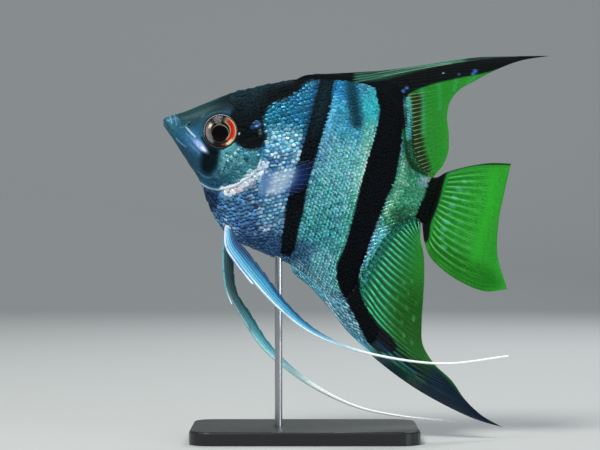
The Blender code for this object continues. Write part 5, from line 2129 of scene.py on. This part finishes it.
# ---- the fish
ANAL_FAN = ((0, 0), (0.3, 0.2), (0.42, 0.37), (0.52, 0.55), (0.62, 0.72), (0.86, 0.96), (1, 1))
SCALE_FIELDS = (
    ScaleField("front", front_share, 1.3, (17, 48), 0.12, 1.15, thin_edges=0.5, stray=0.12),
    ScaleField("flank", rear_share, 1.14, (42, 81.8), 0.16, 1.55),
    ScaleField("cheek", cheek_share, 0.9, (17.5, 32), 0.1, 0.7, 0.03),
    ScaleField("nape", NAPE.weight, 0.95, (15.5, 28), 0.06, 0.5, 0),
)
ANAL_SHEATH = Patch(((46.2, -29), (52, -31), (58, -34.6), (63, -37), (66.4, -33), (68.6, -28),
    (69.6, -29.5), (71.4, -33.6), (74.2, -36.8), (78, -41), (77, -45.2), (73.4, -45.4), (68, -43),
    (62, -39.2), (55, -34.9), (48, -31.6)), 0.3)
ANAL_REAR_SHEATH = Patch(((67.6, -29), (69, -24), (70.6, -17.5), (72.6, -11.6), (75.8, -7.9),
    (80.6, -6.8), (80.8, -8.2), (77.2, -9.9), (74.8, -13.4), (73, -19), (71.6, -24.6), (70.6, -30)),
    0.3)
DORSAL_SHEATH = Patch(((60.5, 26.6), (64, 24.2), (66.8, 20.4), (68.8, 15), (71.2, 9.9), (75.4, 6.9),
    (80.6, 6.5), (80.8, 7.7), (76.6, 8.9), (73.6, 12.2), (71.2, 17.4), (69, 23), (66, 27.4),
    (61.4, 29.4)), 0.3)
TAIL_SHEATH = Patch(((80.4, 6.6), (82.4, 7.4), (83, 4), (83.2, -1), (82.8, -6), (82.4, -8.6),
    (81.4, -7.6), (80.4, -6.4)), 0.3)
NEAR_PELVIC = PelvicColours("#c9d2ee", "#eef2ff", "#5cb0d8", "#3aa0d0", "#103062", "#eefcff")
FAR_PELVIC = PelvicColours("#5fa6b2", "#c6e2e8", "#7ed4e4", "#68cbdc", "#1f7c8e", "#f2fffa", 0.34, 0.4)


@dataclass
class Angelfish:
    """The whole fish: skin, scales, eyes and fins."""

    place: FishFrame
    form: BodyForm = field(default_factory=BodyForm)
    markings: Markings = field(default_factory=Markings)
    relief: HeadRelief = field(default_factory=HeadRelief)

    def fins(self) -> list[RayedFin]:
        """The three median fins."""
        dorsal = RayedFin(
            self.place, "dorsal", "dorsal_fin", body_edge(self.form, DORSAL_START, True),
            DORSAL_LEAD, DORSAL_MARGIN, DORSAL_PATTERN,
            tuple(np.linspace(0.03, 0.46, 11)), tuple(np.linspace(0.5, 0.985, 23)))
        anal = RayedFin(
            self.place, "anal", "anal_fin", body_edge(self.form, ANAL_START, False),
            ANAL_LEAD, ANAL_MARGIN, ANAL_PATTERN,
            tuple(np.linspace(0.03, 0.24, 6)), tuple(np.linspace(0.28, 0.985, 27)),
            ray_radius=0.27, fan=ANAL_FAN)
        back, belly, _, _ = self.form.section(np.array([TAIL_ROOT]))
        root = tuple((TAIL_ROOT, height) for height in np.linspace(back[0], belly[0], 5))
        tail = RayedFin(
            self.place, "tail", "tail_fin", root, TAIL_LEAD, TAIL_MARGIN, TAIL_PATTERN,
            (0.02, 0.05, 0.95, 0.98), tuple(np.linspace(0.1, 0.9, 14)), TAIL_TRAIL,
            ray_radius=0.22, fork_at=0.34)
        return [dorsal, anal, tail]

    def build(self) -> None:
        """Make every piece."""
        Flesh(self.place, self.form, self.markings, self.relief).build()
        dorsal, anal, tail = self.fins()
        for fin in (dorsal, anal, tail):
            fin.build()
        sheaths = (
            (anal, "anal_front_sheath", ANAL_SHEATH, 0.9, -33.0, 1.8),
            (anal, "anal_rear_sheath", ANAL_REAR_SHEATH, 0.85, -25.0, 1.0),
            (dorsal, "dorsal_sheath", DORSAL_SHEATH, 0.85, 22.0, 1.0),
            (tail, "tail_sheath", TAIL_SHEATH, 0.75, 0.0, 1.0),
        )
        for side in Side:
            for wanted in SCALE_FIELDS:
                ScaleCoat(self.place, self.form, self.markings, self.relief, wanted).build(side)
            for fin, name, room, pitch, lie, drawn in sheaths:
                SheathScales(self.place, self.form, self.markings, fin, name, room, pitch, lie,
                             drawn).build(side)
            Eye(self.place, self.form, self.relief, side).build()
            PectoralFin(self.place, self.form, side).build()
        PelvicFin(self.place, Side.LEFT, PELVIC_LEFT, NEAR_PELVIC, 0.2).build()
        PelvicFin(self.place, Side.RIGHT, PELVIC_RIGHT, FAR_PELVIC, 0.24).build()


def main() -> None:
    """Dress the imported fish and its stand, and set up the room."""
    logging.basicConfig(level=logging.INFO, format="%(message)s")
    place = FishFrame.from_eye()
    log.info("lips at x %.2f, z %.2f mm", place.snout_x, place.snout_z)
    Angelfish(place).build()
    dress_stand()
    Studio().build()


if __name__ == "__main__":
    main()
